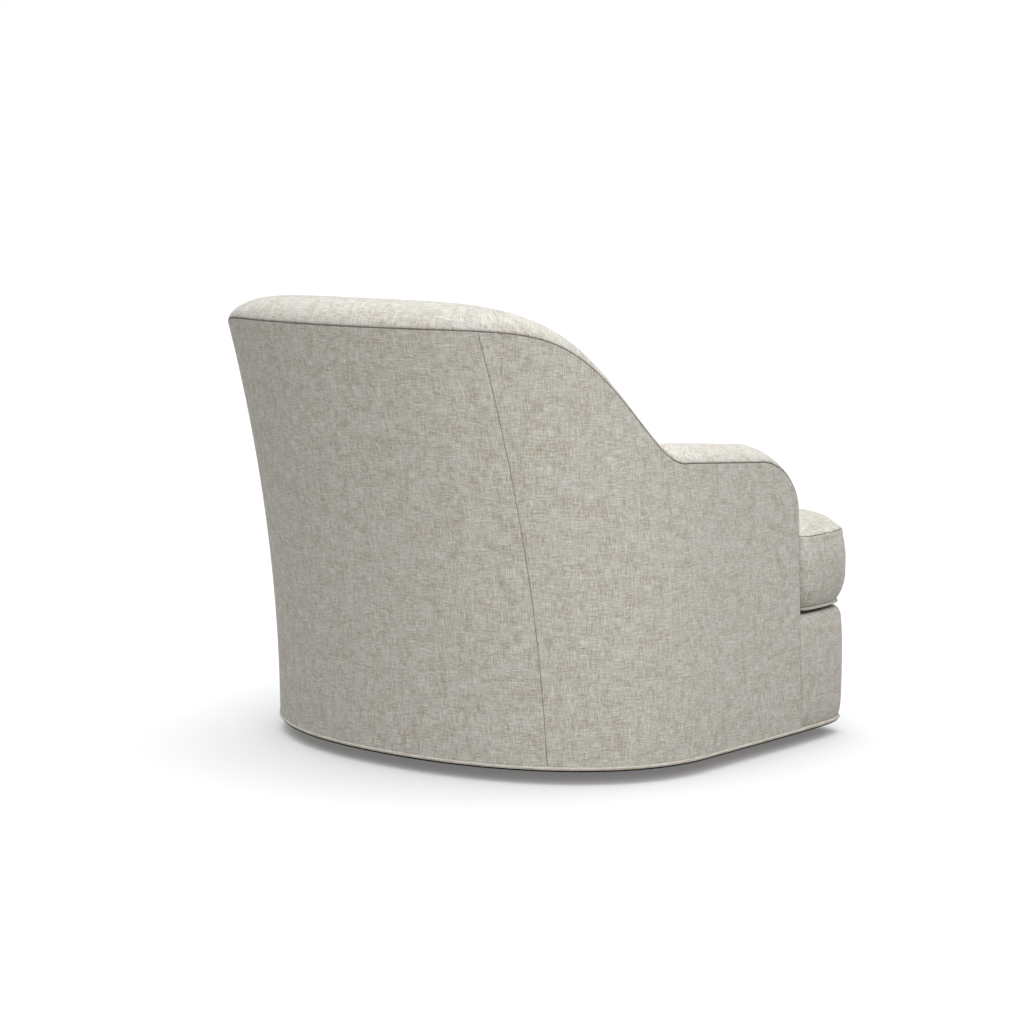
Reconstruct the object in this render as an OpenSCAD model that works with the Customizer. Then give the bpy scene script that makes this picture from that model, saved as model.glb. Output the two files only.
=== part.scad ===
// Barrel-backed swivel rocker: an upholstered shell with a loose T-shaped seat cushion,
// carried by a spring rocker mechanism on a swivel bearing and a ring base.
// Millimetres, +Z up, the sitter faces -Y, origin on the floor under the middle of the whole chair.

/* [Shell] */
// Width over the arms
shell_w = 960; // [860:10:1060]
// Depth of the back's curve, behind the straight arms
back_reach = 346; // [300:2:400]
// Straight run of an arm at the foot, forward of the back's curve
arm_run = 298; // [250:2:340]
// How far the back's top seam stands behind its foot
back_lean = 133; // [80:1:160]
// Power of the back's lean: 1 is straight, 2 is curved evenly
lean_power = 1.97; // [1.2:0.01:2.4]
// Power of the outline: 2 is an ellipse, more is squarer
outline_power = 2.18; // [2:0.01:3]
// Height of the bottom edge over the floor
floor_gap = 27; // [24:1:45]
// Height of the back's top seam
back_seam_h = 813; // [740:1:880]
// Height of an arm's seam where the back begins to rise
arm_seam_h = 568; // [530:2:610]
// How far the arm's seam falls from there to its front corner
arm_fall = 16; // [0:1:30]
// Height of the arm's rounded front corner
corner_h = 107; // [80:1:130]
// Run of the arm's rounded front corner
corner_run = 132; // [100:1:160]
// How far the arm's front leans back between foot and corner
arm_rake = 18; // [0:1:40]
// Length over which the seam rises from the arm to the back
rise_run = 152; // [120:1:190]
// Power of that rise
rise_power = 2.52; // [2:0.01:3.2]

/* [Padding] */
// Width of an arm
arm_w = 165; // [140:1:200]
// Depth of the inner back's curve
inner_reach = 230; // [200:2:260]
// Recline of the inner back, degrees
recline = 18.8; // [12:0.2:24]
// Crown of the padding over the back's seam
back_crown = 47; // [30:1:60]
// Crown of the padding over an arm's seam
arm_crown = 28; // [18:1:40]
// Crown of the padding in front of an arm
front_crown = 4; // [2:1:8]
// What the crown loses where the seam rises
slope_dip = 14; // [0:1:20]
// Depth of the roll from the crown down to the inner face
inner_roll = 45; // [30:1:60]
// Depth of that roll where the padding turns down an arm's front
front_roll = 18; // [8:1:24]
// Thickness of the padding on the inner faces
pad_t = 60; // [40:1:70]
// Thickness of the padding under the crown
crown_t = 34; // [24:1:44]
// Thickness of the padding on an arm's front
facing_t = 25; // [18:1:30]
// Thickness of an outer panel, fabric with its backing
panel_t = 6; // [4:0.5:7]
// Radius of the welt cord
welt_r = 3; // [2.5:0.1:3.5]

/* [Seat] */
// Height of the deck that the cushion rests on
deck_h = 247; // [235:1:265]
// How far the inner back stands behind the start of the back's curve, at deck height
inner_back_set = 88; // [70:2:110]
// Reach of the apron's front corners, forward of the back's curve
apron_reach = 474; // [450:2:500]
// How far the apron's middle bows forward
apron_bow = 10; // [0:1:20]
// Width of the apron's rounded corner
corner_w = 50; // [40:1:100]
// Depth of the apron's rounded corner
corner_d = 160; // [130:1:165]
// Thickness of the apron's padding
apron_t = 26; // [20:1:32]
// Height of the cushion's lower seam over the deck
low_seam = 10; // [8:1:14]
// Height of the cushion's boxing, seam to seam
boxing_h = 139; // [110:1:160]
// Crown of the cushion over its upper seam
cushion_crown = 44; // [30:1:55]
// How far the boxing bulges past the seams
boxing_bulge = 6; // [2:0.5:9]
// Play between the cushion's bulge and the padding round it
cushion_play = 3; // [2:0.5:6]
// Thickness of the deck's padding
deck_t = 8; // [5:1:9]

/* [Frame] */
// Thickness of the plywood rails
ply_t = 22; // [18:1:26]
// Thickness of the arms' side boards
board_t = 15; // [12:1:18]
// Width of the curved rails
rail_w = 58; // [45:1:64]
// Height of the cross rails that carry the mechanism
cross_h = 25; // [20:1:30]
// Width of a cross rail
cross_w = 70; // [60:1:90]
// Leg of a corner block
block_leg = 90; // [70:1:110]
// Strands of zigzag springs under the deck
strands = 5; // [4:1:6]
// Wire of a zigzag spring
strand_wire = 4; // [3:0.5:4]

/* [Mechanism] */
// How far the swivel axis stands in front of the start of the back's curve
axis_set = 69; // [50:1:80]
// Radius of the ring base, to the middle of its tube
ring_r = 255; // [230:1:270]
// Radius of the ring's tube
tube_r = 12.5; // [10:0.5:12.5]
// Height of a floor glide under the tube
glide_h = 5; // [4:0.5:5]
// Radius of the bearing's ball track
track_r = 78; // [60:1:90]
// Radius of a bearing ball
ball_r = 4.5; // [4:0.5:5]
// Balls in the bearing
balls = 20; // [12:1:24]
// Radius of the king bolt
king_r = 8; // [6:0.5:10]
// Height of the rock axis over the floor
pivot_h = 112; // [100:1:120]
// Radius of a pivot pin
pin_r = 8; // [6:0.5:9]
// Half the width between the cradle's ears
ear_x = 130; // [115:1:150]
// Thickness of the mechanism's steel plate
plate_t = 5; // [4:0.5:6]
// Mean radius of a rocker spring
coil_r = 28; // [24:1:32]
// Radius of a rocker spring's wire
wire_r = 4.5; // [3.5:0.5:4.5]
// Turns of a rocker spring
coil_turns = 6; // [5:1:6]
// Half the spacing of the rocker springs across the chair
spring_x = 78; // [70:1:82]
// Half the spacing of the rocker springs, front to rear
spring_y = 100; // [90:1:105]

/* [Hidden] */

// Clearances
seam_gap = 0.4;
soft_gap = 0.3;
running_fit = 0.06;
loose_fit = 0.1;
press_gap = 0.02;
side_play = 0.5;
overrun = 1;

// Places that follow from the sizes above
half_w = shell_w / 2;
inner_half = half_w - arm_w;
cushion_reach = apron_reach + apron_bow + boxing_bulge;
arc_y = (cushion_reach - back_reach - back_lean) / 2;
inner_back_y = arc_y + inner_back_set;
corner_base_h = arm_seam_h - arm_fall - corner_h;
arm_top_run = arm_run - arm_rake + lean(arm_seam_h - arm_fall);
panel_low = floor_gap + 2 * welt_r + seam_gap;
rail_lift = 5;
rail_low = floor_gap + rail_lift;
clip_t = 1.5;
rail_top = deck_h - deck_t - strand_wire - clip_t - 2 * seam_gap;
seat_rail_low = rail_top - ply_t;
cross_low = seat_rail_low - cross_h;
plate_low = cross_low - plate_t;
axis_y = arc_y - axis_set;
rail_stand_off = 3;
rail_inset = panel_t + rail_stand_off;
back_seam = 1.6;
seam_low_angle = 40.5;
seam_top_angle = 35.3;

// Arithmetic on angles, powers and grids
function mix(a, b, t) = a + (b - a) * t;
function clip(t) = min(max(t, 0), 1);
function power(base, exponent) = pow(max(base, 0), exponent);
function round_off(t, exponent) = power(1 - power(1 - clip(t), exponent), 1 / exponent);
function flat(rows) = [for (row = rows) each row];
function steps(count) = [for (i = [0:count]) i / count];
function high_share(z) = (z - floor_gap) / (back_seam_h - floor_gap);

// How far the outline has moved back at a height
function lean(z) = back_lean * power(high_share(z), lean_power);
// Front edge of an arm at a height
function arm_front_y(z) =
    arc_y - arm_run + arm_rake * (z - floor_gap) / (corner_base_h - floor_gap);

// A place along the shell is 0 at the arm's front, 1 where the back's curve begins, back_seam at
// the vertical seam and 2 at the middle of the back. bend() lets the seam stand nearly in a plane.
function seam_place(z) = 2 - mix(seam_low_angle, seam_top_angle, high_share(z)) / 90;
function bend(q, z) =
    q <= 1 ? q
    : q <= back_seam ? 1 + (q - 1) * (seam_place(z) - 1) / (back_seam - 1)
    : 2 - (2 - q) * (2 - seam_place(z)) / (2 - back_seam);
function across(p) = p < 1 ? 1 : power(sin(90 * (2 - p)), 2 / outline_power);
function behind(p) = p < 1 ? 0 : power(cos(90 * (2 - p)), 2 / outline_power);

// Plan point of the outer shell, and of the inner faces, inset by a distance. The inner faces start
// at their own front.
function outer_xy(q, z, inset) =
    let (p = bend(q, z), middle = arc_y + lean(z))
    [
        (half_w - inset) * across(p),
        p < 1 ? mix(arm_front_y(z), middle, p) : middle + (back_reach - inset) * behind(p)
    ];
function inner_xy(q, z, inset, front) =
    let (p = bend(q, z), middle = inner_back_y - inner_reach + (z - deck_h) * tan(recline))
    [
        (inner_half + inset) * across(p),
        p < 1 ? mix(front, middle, p) : middle + (inner_reach + inset) * behind(p)
    ];

// Height of the seam: level on the back, an even rise, a slow fall, a rounded front corner.
// depth is how far a point lies inside the outline, where the rising part runs lower.
function seam_z(q, depth) =
    let (p = bend(q, back_seam_h), run = p * arm_top_run)
    p < 1
    ? corner_base_h + corner_h * round_off(run / corner_run, 2)
      + arm_fall * clip((run - corner_run) / (arm_top_run - corner_run))
    : arm_seam_h + (back_seam_h - arm_seam_h)
      * (1 - exp(-power((back_reach * behind(p) - depth) / rise_run, rise_power)));
function seam_point(q) = let (z = seam_z(q, 0)) concat(outer_xy(q, z, 0), [z]);

// Direction in which the crown stands on the seam, square to the seam's run
look_share = 0.004;
function seam_run(q) =
    let (run = seam_point(min(q + look_share, 2)) - seam_point(max(q - look_share, 0)))
    q > 2 - look_share ? [-1, 0, 0] : run / norm(run);
function crown_way(q) =
    let (run = seam_run(q), way = [0, 0, 1] - run[2] * run)
    q == 0 ? [0, -1, 0] : way / norm(way);

// The crown: a quarter round from the seam to its peak, then a roll down to the inner face
peak_share = 0.37;
crown_power = 1.75;
roll_power = 2.2;
corner_share = corner_run / arm_top_run;
inward_fall = 144;
function crown_h(q) =
    let (rise = (seam_z(q, 0) - arm_seam_h) / (back_seam_h - arm_seam_h))
    q < corner_share ? mix(front_crown, arm_crown, sin(90 * q / corner_share))
    : mix(arm_crown, back_crown, clip(rise)) - 4 * slope_dip * clip(rise) * (1 - clip(rise));
// Depth of the padding under its surface, thinner where it turns down in front of the arm's board
function crown_depth(q) =
    q < corner_share ? mix(facing_t, crown_t, sin(90 * q / corner_share)) : crown_t;
function roll_h(q) =
    q < corner_share ? mix(front_roll, inner_roll, sin(90 * q / corner_share)) : inner_roll;
function crown(q, share) =
    share <= peak_share ? crown_h(q) * round_off(share / peak_share, crown_power)
    : crown_h(q) - (crown_h(q) + roll_h(q))
      * (1 - power(1 - power((share - peak_share) / (1 - peak_share), roll_power), 1 / roll_power));

// A point of the padding: share runs from the seam, 0, to the inner face, 1, and sunk is the depth
// below the surface
function pad_point(q, share, sunk) =
    let (
        z = seam_z(q, inward_fall * share),
        spot = mix(outer_xy(q, z, 0), inner_xy(q, z, 0, arm_front_y(z)), share)
    )
    concat(spot, [z]) + (crown(q, share) - sunk) * crown_way(q);

// Two grids of points, outer and inner, closed along their four edges
function pair(a, b, c, d) = [[a, c, b], [a, d, c]];
module slab(outside, inside) {
    rows = len(outside);
    cols = len(outside[0]);
    half = rows * cols;
    function at(i, j) = i * cols + j;
    polyhedron(
        points = concat(flat(outside), flat(inside)),
        faces = concat(
            [for (i = [0:rows - 2], j = [0:cols - 2])
                each pair(at(i, j), at(i + 1, j), at(i + 1, j + 1), at(i, j + 1))],
            [for (i = [0:rows - 2], j = [0:cols - 2])
                each pair(half + at(i, j), half + at(i, j + 1), half + at(i + 1, j + 1),
                    half + at(i + 1, j))],
            [for (i = [0:rows - 2])
                each pair(at(i, 0), half + at(i, 0), half + at(i + 1, 0), at(i + 1, 0))],
            [for (i = [0:rows - 2])
                each pair(at(i, cols - 1), at(i + 1, cols - 1), half + at(i + 1, cols - 1),
                    half + at(i, cols - 1))],
            [for (j = [0:cols - 2])
                each pair(at(0, j), at(0, j + 1), half + at(0, j + 1), half + at(0, j))],
            [for (j = [0:cols - 2])
                each pair(at(rows - 1, j), half + at(rows - 1, j), half + at(rows - 1, j + 1),
                    at(rows - 1, j + 1))]
        )
    );
}

// Rings of points stacked upwards, each counter-clockwise from above, with flat ends
module stack(rings) {
    count = len(rings[0]);
    last = (len(rings) - 1) * count;
    polyhedron(
        points = flat(rings),
        faces = concat(
            [[for (i = [0:count - 1]) i]],
            [for (k = [0:len(rings) - 2], i = [0:count - 1])
                each pair(k * count + i, k * count + (i + 1) % count,
                    (k + 1) * count + (i + 1) % count, (k + 1) * count + i)],
            [[for (i = [0:count - 1]) last + count - 1 - i]]
        )
    );
}

// A round cord of six sides along a closed level path
cord_sides = 6;
module closed_cord(path, radius) {
    count = len(path);
    rings = [for (i = [0:count - 1])
        let (
            run = path[(i + 1) % count] - path[(i + count - 1) % count],
            side = [run[1], -run[0], 0] / norm(run)
        )
        [for (k = [0:cord_sides - 1])
            let (turn = 360 * k / cord_sides)
            path[i] + radius * (cos(turn) * side + [0, 0, sin(turn)])]];
    polyhedron(
        points = flat(rings),
        faces = [for (i = [0:count - 1], k = [0:cord_sides - 1])
            let (next = (i + 1) % count * cord_sides, other = (k + 1) % cord_sides)
            each pair(i * cord_sides + k, next + k, next + other, i * cord_sides + other)]
    );
}

module both_sides() {
    children();
    mirror([1, 0, 0]) children();
}

// Outlines of the apron, the deck and the cushion. The right half runs from the front's middle to
// the end of its rounded corner, at side_y, and mirrored() closes the left half. A deep inset
// keeps a corner of its own.
bow_steps = 4;
turn_steps = 8;
corner_power = 2.8;
corner_keep = 20;
corner_y = arc_y - apron_reach + corner_d;
function mirrored(half) = concat(half, [for (i = [len(half) - 1:-1:0]) [-half[i][0], half[i][1]]]);
function front_half(inset, side_y) =
    let (
        turn_w = max(corner_w - inset, corner_keep),
        flat_w = half_w - inset - turn_w,
        flat_y = corner_y - corner_d + inset
    )
    concat(
        [for (i = [0.5:bow_steps - 0.5])
            let (share = i / bow_steps)
            [flat_w * share, flat_y - apron_bow * (1 - share * share)]],
        [for (t = steps(turn_steps))
            [
                flat_w + turn_w * power(sin(90 * t), 2 / corner_power),
                side_y - (side_y - flat_y) * power(cos(90 * t), 2 / corner_power)
            ]]
    );

// Steel ring base with four spokes and a hub
spoke_w = 30;
spoke_h = 12;
hub_r = 70;
tube_z = glide_h + tube_r;
hub_low = tube_z - spoke_h / 2;
race_low = tube_z + tube_r;
module at_axis() {
    translate([0, axis_y, 0]) children();
}
module base_ring() color("#3b3b3d") at_axis() difference() {
    union() {
        translate([0, 0, tube_z]) rotate_extrude($fn = 72)
            translate([ring_r, 0]) circle(r = tube_r, $fn = 24);
        for (turn = [45:90:315]) rotate([0, 0, turn])
            translate([0, -spoke_w / 2, hub_low]) cube([ring_r, spoke_w, spoke_h]);
        translate([0, 0, hub_low]) cylinder(r = hub_r, h = race_low - hub_low, $fn = 64);
    }
    translate([0, 0, hub_low - overrun])
        cylinder(r = king_r + loose_fit, h = race_low - hub_low + 2 * overrun, $fn = 48);
}

// Nylon glides, cupped round the underside of the tube
glide_r = 11;
glide_count = 8;
module floor_glides() color("#222222") at_axis() difference() {
    for (i = [0:glide_count - 1]) rotate([0, 0, 360 * i / glide_count])
        translate([ring_r, 0, 0]) cylinder(r = glide_r, h = glide_h + tube_r / 2, $fn = 32);
    translate([0, 0, tube_z]) rotate_extrude($fn = 72)
        translate([ring_r, 0]) circle(r = tube_r + press_gap, $fn = 24);
}

// Swivel bearing: two grooved plates and the balls between them
race_t = 5;
race_gap = 3;
race_rim = 17;
ball_z = race_low + race_t + race_gap / 2;
race_top = race_low + 2 * race_t + race_gap;
module race_plate(low) rotate_extrude($fn = 72) difference() {
    translate([king_r + running_fit, low]) square([track_r + race_rim - king_r, race_t]);
    translate([track_r, ball_z]) circle(r = ball_r + loose_fit, $fn = 32);
}
bolt_r = 4;
bolt_ring_share = 0.6;
module cradle_bolt_holes() for (turn = [45:90:315]) rotate([0, 0, turn])
    translate([hub_r * bolt_ring_share, 0, race_low])
        cylinder(r = bolt_r + press_gap, h = race_top + plate_t + overrun - race_low, $fn = 32);
module lower_race() color("#8a8c8f") at_axis() race_plate(race_low);
module upper_race() color("#8a8c8f") at_axis() difference() {
    race_plate(race_low + race_t + race_gap);
    cradle_bolt_holes();
}
module bearing_balls() color("#c8cacc") at_axis() for (i = [0:balls - 1])
    rotate([0, 0, 360 * i / balls]) translate([track_r, 0, ball_z]) sphere(r = ball_r, $fn = 24);

// King bolt that the chair swivels on, and its nut
head_r = 13;
head_h = 7;
nut_h = 11;
nut_washer_t = 2;
nut_washer_r = 17;
cradle_top = race_top + plate_t;
nut_low = cradle_top + loose_fit;
module king_bolt() color("#9a9c9f") at_axis() {
    translate([0, 0, hub_low - head_h]) cylinder(r = head_r, h = head_h, $fn = 6);
    translate([0, 0, hub_low]) cylinder(
        r = king_r, h = nut_low + nut_washer_t + nut_h + plate_t - hub_low, $fn = 48);
}
module king_nut() color("#9a9c9f") at_axis() difference() {
    union() {
        translate([0, 0, nut_low]) cylinder(r = nut_washer_r, h = nut_washer_t, $fn = 48);
        translate([0, 0, nut_low + nut_washer_t]) cylinder(r = head_r, h = nut_h, $fn = 6);
    }
    translate([0, 0, nut_low - overrun])
        cylinder(r = king_r + loose_fit / 2, h = nut_washer_t + nut_h + 2 * overrun, $fn = 48);
}

// Rocker cradle on the bearing, with an ear each side for the rock axis
bush_wall = 2.5;
bush_r = pin_r + bush_wall;
eye_wall = 9;
eye_r = bush_r + eye_wall;
ear_foot = 140;
cradle_margin = 10;
cradle_x = ear_x + plate_t / 2;
cradle_y = spring_y + coil_r + cradle_margin;
// An ear: an eye at the rock axis on a foot that widens to its plate
module ear(foot_z, eye_hole) rotate([90, 0, 90]) linear_extrude(plate_t) difference() {
    union() {
        translate([0, pivot_h]) circle(r = eye_r, $fn = 48);
        polygon([[-eye_r, pivot_h], [eye_r, pivot_h], [ear_foot / 2, foot_z],
            [-ear_foot / 2, foot_z]]);
    }
    translate([0, pivot_h]) circle(r = eye_hole, $fn = 48);
}
module rocker_cradle() color("#303134") at_axis() difference() {
    union() {
        translate([-cradle_x, -cradle_y, race_top]) cube([2 * cradle_x, 2 * cradle_y, plate_t]);
        both_sides() translate([ear_x - plate_t / 2, 0, 0])
            ear(race_top + plate_t / 2, bush_r + press_gap);
    }
    translate([0, 0, race_top - overrun])
        cylinder(r = king_r + running_fit, h = plate_t + 2 * overrun, $fn = 48);
    cradle_bolt_holes();
}

// Dome-headed bolts that hold the cradle to the upper race
dome_r = 8;
dome_h = 4;
dome_round = 10;
module cradle_bolts() color("#9a9c9f") at_axis() for (turn = [45:90:315])
    rotate([0, 0, turn]) translate([hub_r * bolt_ring_share, 0, cradle_top])
        rotate_extrude($fn = 32) union() {
            translate([0, -plate_t - race_t]) square([bolt_r, plate_t + race_t]);
            intersection() {
                translate([0, dome_h - dome_round]) circle(r = dome_round, $fn = 48);
                square([dome_r, dome_h]);
            }
        }

// Flanged nylon bushes in the cradle's ears
flange_t = 2.5;
module pivot_bushings() color("#e6e2d6") at_axis() both_sides()
    translate([ear_x - plate_t / 2, 0, pivot_h]) rotate([0, 90, 0]) rotate_extrude($fn = 48)
        union() {
            translate([pin_r + running_fit, 0]) square([bush_wall - running_fit, plate_t]);
            translate([pin_r + running_fit, plate_t])
                square([bush_wall + bush_wall, flange_t]);
        }

// Bracket bolted under the seat frame, with an ear outside each ear of the cradle
bracket_x = ear_x + plate_t / 2 + flange_t + side_play;
bracket_half = bracket_x + plate_t;
bracket_y = cradle_y;
bolt_margin = 15;
bracket_bolt_x = bracket_half - bolt_margin;
bracket_bolt_y = bracket_y - bolt_margin;
module rocker_bracket() color("#303134") at_axis() difference() {
    union() {
        translate([-bracket_half, -bracket_y, plate_low])
            cube([2 * bracket_half, 2 * bracket_y, plate_t]);
        both_sides() translate([bracket_x, 0, 0])
            ear(plate_low + plate_t / 2, pin_r + press_gap);
    }
    for (x = [-1, 1], y = [-1, 1])
        translate([x * bracket_bolt_x, y * bracket_bolt_y, plate_low - overrun])
            cylinder(r = bolt_r + loose_fit, h = plate_t + 2 * overrun, $fn = 32);
}

// Shouldered pivot pins, headed outside the bracket and ringed inside the cradle
pin_head_r = 13;
pin_head_t = 5;
ring_t = 2;
pin_tail = 5;
module pivot_pins() color("#b9bbbe") at_axis() both_sides()
    translate([ear_x - plate_t / 2 - ring_t - pin_tail, 0, pivot_h]) rotate([0, 90, 0]) {
        cylinder(r = pin_r, h = bracket_half - ear_x + plate_t / 2 + ring_t + pin_tail, $fn = 48);
        translate([0, 0, bracket_half - ear_x + plate_t / 2 + ring_t + pin_tail])
            cylinder(r = pin_head_r, h = pin_head_t, $fn = 48);
        translate([0, 0, pin_tail - side_play]) cylinder(r = pin_r + ring_t, h = ring_t, $fn = 48);
    }

// Spring seats: a dished washer with a boss inside the coil
seat_t = 3;
boss_h = 12;
seat_rim = 3;
boss_r = coil_r - wire_r - seat_rim;
seat_r = coil_r + wire_r + seat_rim;
module spring_seat() rotate_extrude($fn = 48) union() {
    square([seat_r, seat_t]);
    translate([0, seat_t]) square([boss_r, boss_h]);
}
module four_places() at_axis() for (x = [-1, 1], y = [-1, 1])
    translate([x * spring_x, y * spring_y, 0]) children();
module lower_spring_seats() color("#26272a") four_places()
    translate([0, 0, cradle_top]) spring_seat();
module upper_spring_seats() color("#26272a") four_places()
    translate([0, 0, plate_low]) mirror([0, 0, 1]) spring_seat();

// Rocker springs: one wire each, a closed turn at both ends and open turns between
coil_steps = 12;
closed_gap = 0.8;
coil_low = cradle_top + seat_t + wire_r + soft_gap;
coil_high = plate_low - seat_t - wire_r - soft_gap;
closed_pitch = 2 * wire_r + closed_gap;
open_pitch = (coil_high - coil_low - 2 * closed_pitch) / (coil_turns - 2);
function coil_z(turn) =
    turn < 1 ? coil_low + turn * closed_pitch
    : turn > coil_turns - 1 ? coil_high - (coil_turns - turn) * closed_pitch
    : coil_low + closed_pitch + (turn - 1) * open_pitch;
coil_points = [for (i = [0:coil_turns * coil_steps])
    let (turn = i / coil_steps)
    [coil_r * cos(360 * turn), coil_r * sin(360 * turn), coil_z(turn)]];
coil_gap = min([for (i = [0:len(coil_points) - 1], j = [i + coil_steps / 2:len(coil_points) - 1])
    norm(coil_points[i] - coil_points[j])]) - 2 * wire_r;
echo(least_gap_between_the_turns_of_a_rocker_spring = coil_gap);
module rocker_spring() {
    count = len(coil_points);
    rings = [for (i = [0:count - 1])
        let (
            run = coil_points[min(i + 1, count - 1)] - coil_points[max(i - 1, 0)],
            out = [coil_points[i][0], coil_points[i][1], 0] / coil_r,
            up = cross(run, out) / norm(cross(run, out))
        )
        [for (k = [0:cord_sides - 1])
            let (turn = 360 * k / cord_sides)
            coil_points[i] + wire_r * (cos(turn) * out + sin(turn) * up)]];
    polyhedron(
        points = flat(rings),
        faces = concat(
            [for (i = [0:count - 2], k = [0:cord_sides - 1])
                let (other = (k + 1) % cord_sides)
                each pair(i * cord_sides + k, i * cord_sides + other,
                    (i + 1) * cord_sides + other, (i + 1) * cord_sides + k)],
            [[for (k = [0:cord_sides - 1]) k]],
            [[for (k = [cord_sides - 1:-1:0]) (count - 1) * cord_sides + k]]
        )
    );
}
module front_springs() color("#8f9194") at_axis() both_sides()
    translate([spring_x, -spring_y, 0]) rocker_spring();
module rear_springs() color("#8f9194") at_axis() both_sides()
    translate([spring_x, spring_y, 0]) rocker_spring();

// Bolts through the bracket into the cross rails
module bracket_bolts() color("#9a9c9f") at_axis() for (x = [-1, 1], y = [-1, 1])
    translate([x * bracket_bolt_x, y * bracket_bolt_y, 0]) {
        translate([0, 0, plate_low - dome_h]) cylinder(r = dome_r, h = dome_h, $fn = 6);
        translate([0, 0, plate_low]) cylinder(r = bolt_r, h = plate_t + cross_h, $fn = 32);
    }

// Cross rails between the arms' side boards, drilled for the bracket's bolts
side_x = half_w - rail_inset;
board_x = side_x - board_t;
module cross_rails() color("#c9a877") at_axis() for (y = [-1, 1]) difference() {
    translate([-board_x, y * bracket_bolt_y - cross_w / 2, cross_low])
        cube([2 * board_x, cross_w, cross_h]);
    for (x = [-1, 1]) translate([x * bracket_bolt_x, y * bracket_bolt_y, cross_low - overrun])
        cylinder(r = bolt_r + loose_fit, h = cross_h + 2 * overrun, $fn = 32);
}

// Curved plywood rails, cut to the shell's outline at their own height
rail_steps = 14;
module curved_rail(low, from, width) translate([0, 0, low]) linear_extrude(ply_t) polygon(
    concat(
        [for (t = steps(rail_steps)) outer_xy(mix(from, 2, t), low, rail_inset)],
        [for (t = steps(rail_steps))
            let (spot = outer_xy(mix(2, from, t), low, rail_inset)) [-spot[0], spot[1]]],
        [for (t = steps(rail_steps))
            let (spot = outer_xy(mix(from, 2, t), low, rail_inset + width)) [-spot[0], spot[1]]],
        [for (t = steps(rail_steps)) outer_xy(mix(2, from, t), low, rail_inset + width)]
    ));
module bottom_back_rail() color("#c9a877") curved_rail(rail_low, 1, rail_w);
module seat_back_rail() color("#c9a877") curved_rail(seat_rail_low, 1, rail_w);
module top_rail() color("#c9a877")
    curved_rail(back_seam_h - crown_t - 2 * ply_t + seam_gap, back_seam, rail_w);

// Straight plywood rails along the sides
board_y = arm_front_y(corner_base_h) + facing_t + seam_gap;
module side_rail(low) color("#c9a877") translate([board_x - rail_w, board_y + ply_t, low])
    cube([rail_w, arc_y + lean(low) - board_y - ply_t, ply_t]);
module bottom_rail_right() side_rail(rail_low);
module bottom_rail_left() mirror([1, 0, 0]) side_rail(rail_low);
module seat_rail_right() side_rail(seat_rail_low);
module seat_rail_left() mirror([1, 0, 0]) side_rail(seat_rail_low);

// Front rail behind the apron, with stub returns to the boards in front of the arms
front_rail_y = arc_y - apron_reach + apron_t + seam_gap;
front_rail_half = half_w - corner_w - seam_gap;
return_x = front_rail_half - ply_t;
module front_rail() color("#c9a877") union() {
    translate([-front_rail_half, front_rail_y, rail_low])
        cube([2 * front_rail_half, ply_t, rail_top - rail_low]);
    both_sides() translate([return_x, front_rail_y, rail_low])
        cube([ply_t, board_y - front_rail_y, rail_top - rail_low]);
}

// Glued blocks in the front corners of the frame, at the seat and at the bottom edge
module corner_blocks() color("#d4b68a") for (low = [rail_low, seat_rail_low]) both_sides()
    translate([-return_x, front_rail_y + ply_t, low]) linear_extrude(ply_t)
        polygon([[0, 0], [block_leg, 0], [0, block_leg]]);

// Arm boards: a side board cut to the seam's curve, a front board and a rail between them
board_steps = 16;
function place_at(y, z) = (y - arm_front_y(z)) / (arc_y + lean(z) - arm_front_y(z));
function arm_board_edge(y) =
    let (q = place_at(y, arm_seam_h - arm_fall))
    [y, seam_z(q, 0) - (crown_t + seam_gap) / crown_way(q)[2]];
module arm_board() color("#c9a877") translate([board_x, 0, 0])
    rotate([90, 0, 90]) linear_extrude(board_t) polygon(concat(
        [[arc_y, rail_low], [board_y, rail_low]],
        [for (t = steps(board_steps)) arm_board_edge(mix(board_y, arc_y, t))]));
module arm_board_right() arm_board();
module arm_board_left() mirror([1, 0, 0]) arm_board();
front_board_top = corner_base_h - crown_t;
pad_x = inner_half + pad_t + seam_gap;
module front_board() color("#c9a877") translate([pad_x, board_y, rail_low])
    cube([board_x - pad_x, ply_t, front_board_top - rail_low]);
module front_board_right() front_board();
module front_board_left() mirror([1, 0, 0]) front_board();
module arm_rail() color("#c9a877")
    translate([pad_x, board_y + ply_t, front_board_top - ply_t])
        cube([board_x - pad_x, arc_y - board_y - ply_t, ply_t]);
module arm_rail_right() arm_rail();
module arm_rail_left() mirror([1, 0, 0]) arm_rail();

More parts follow.
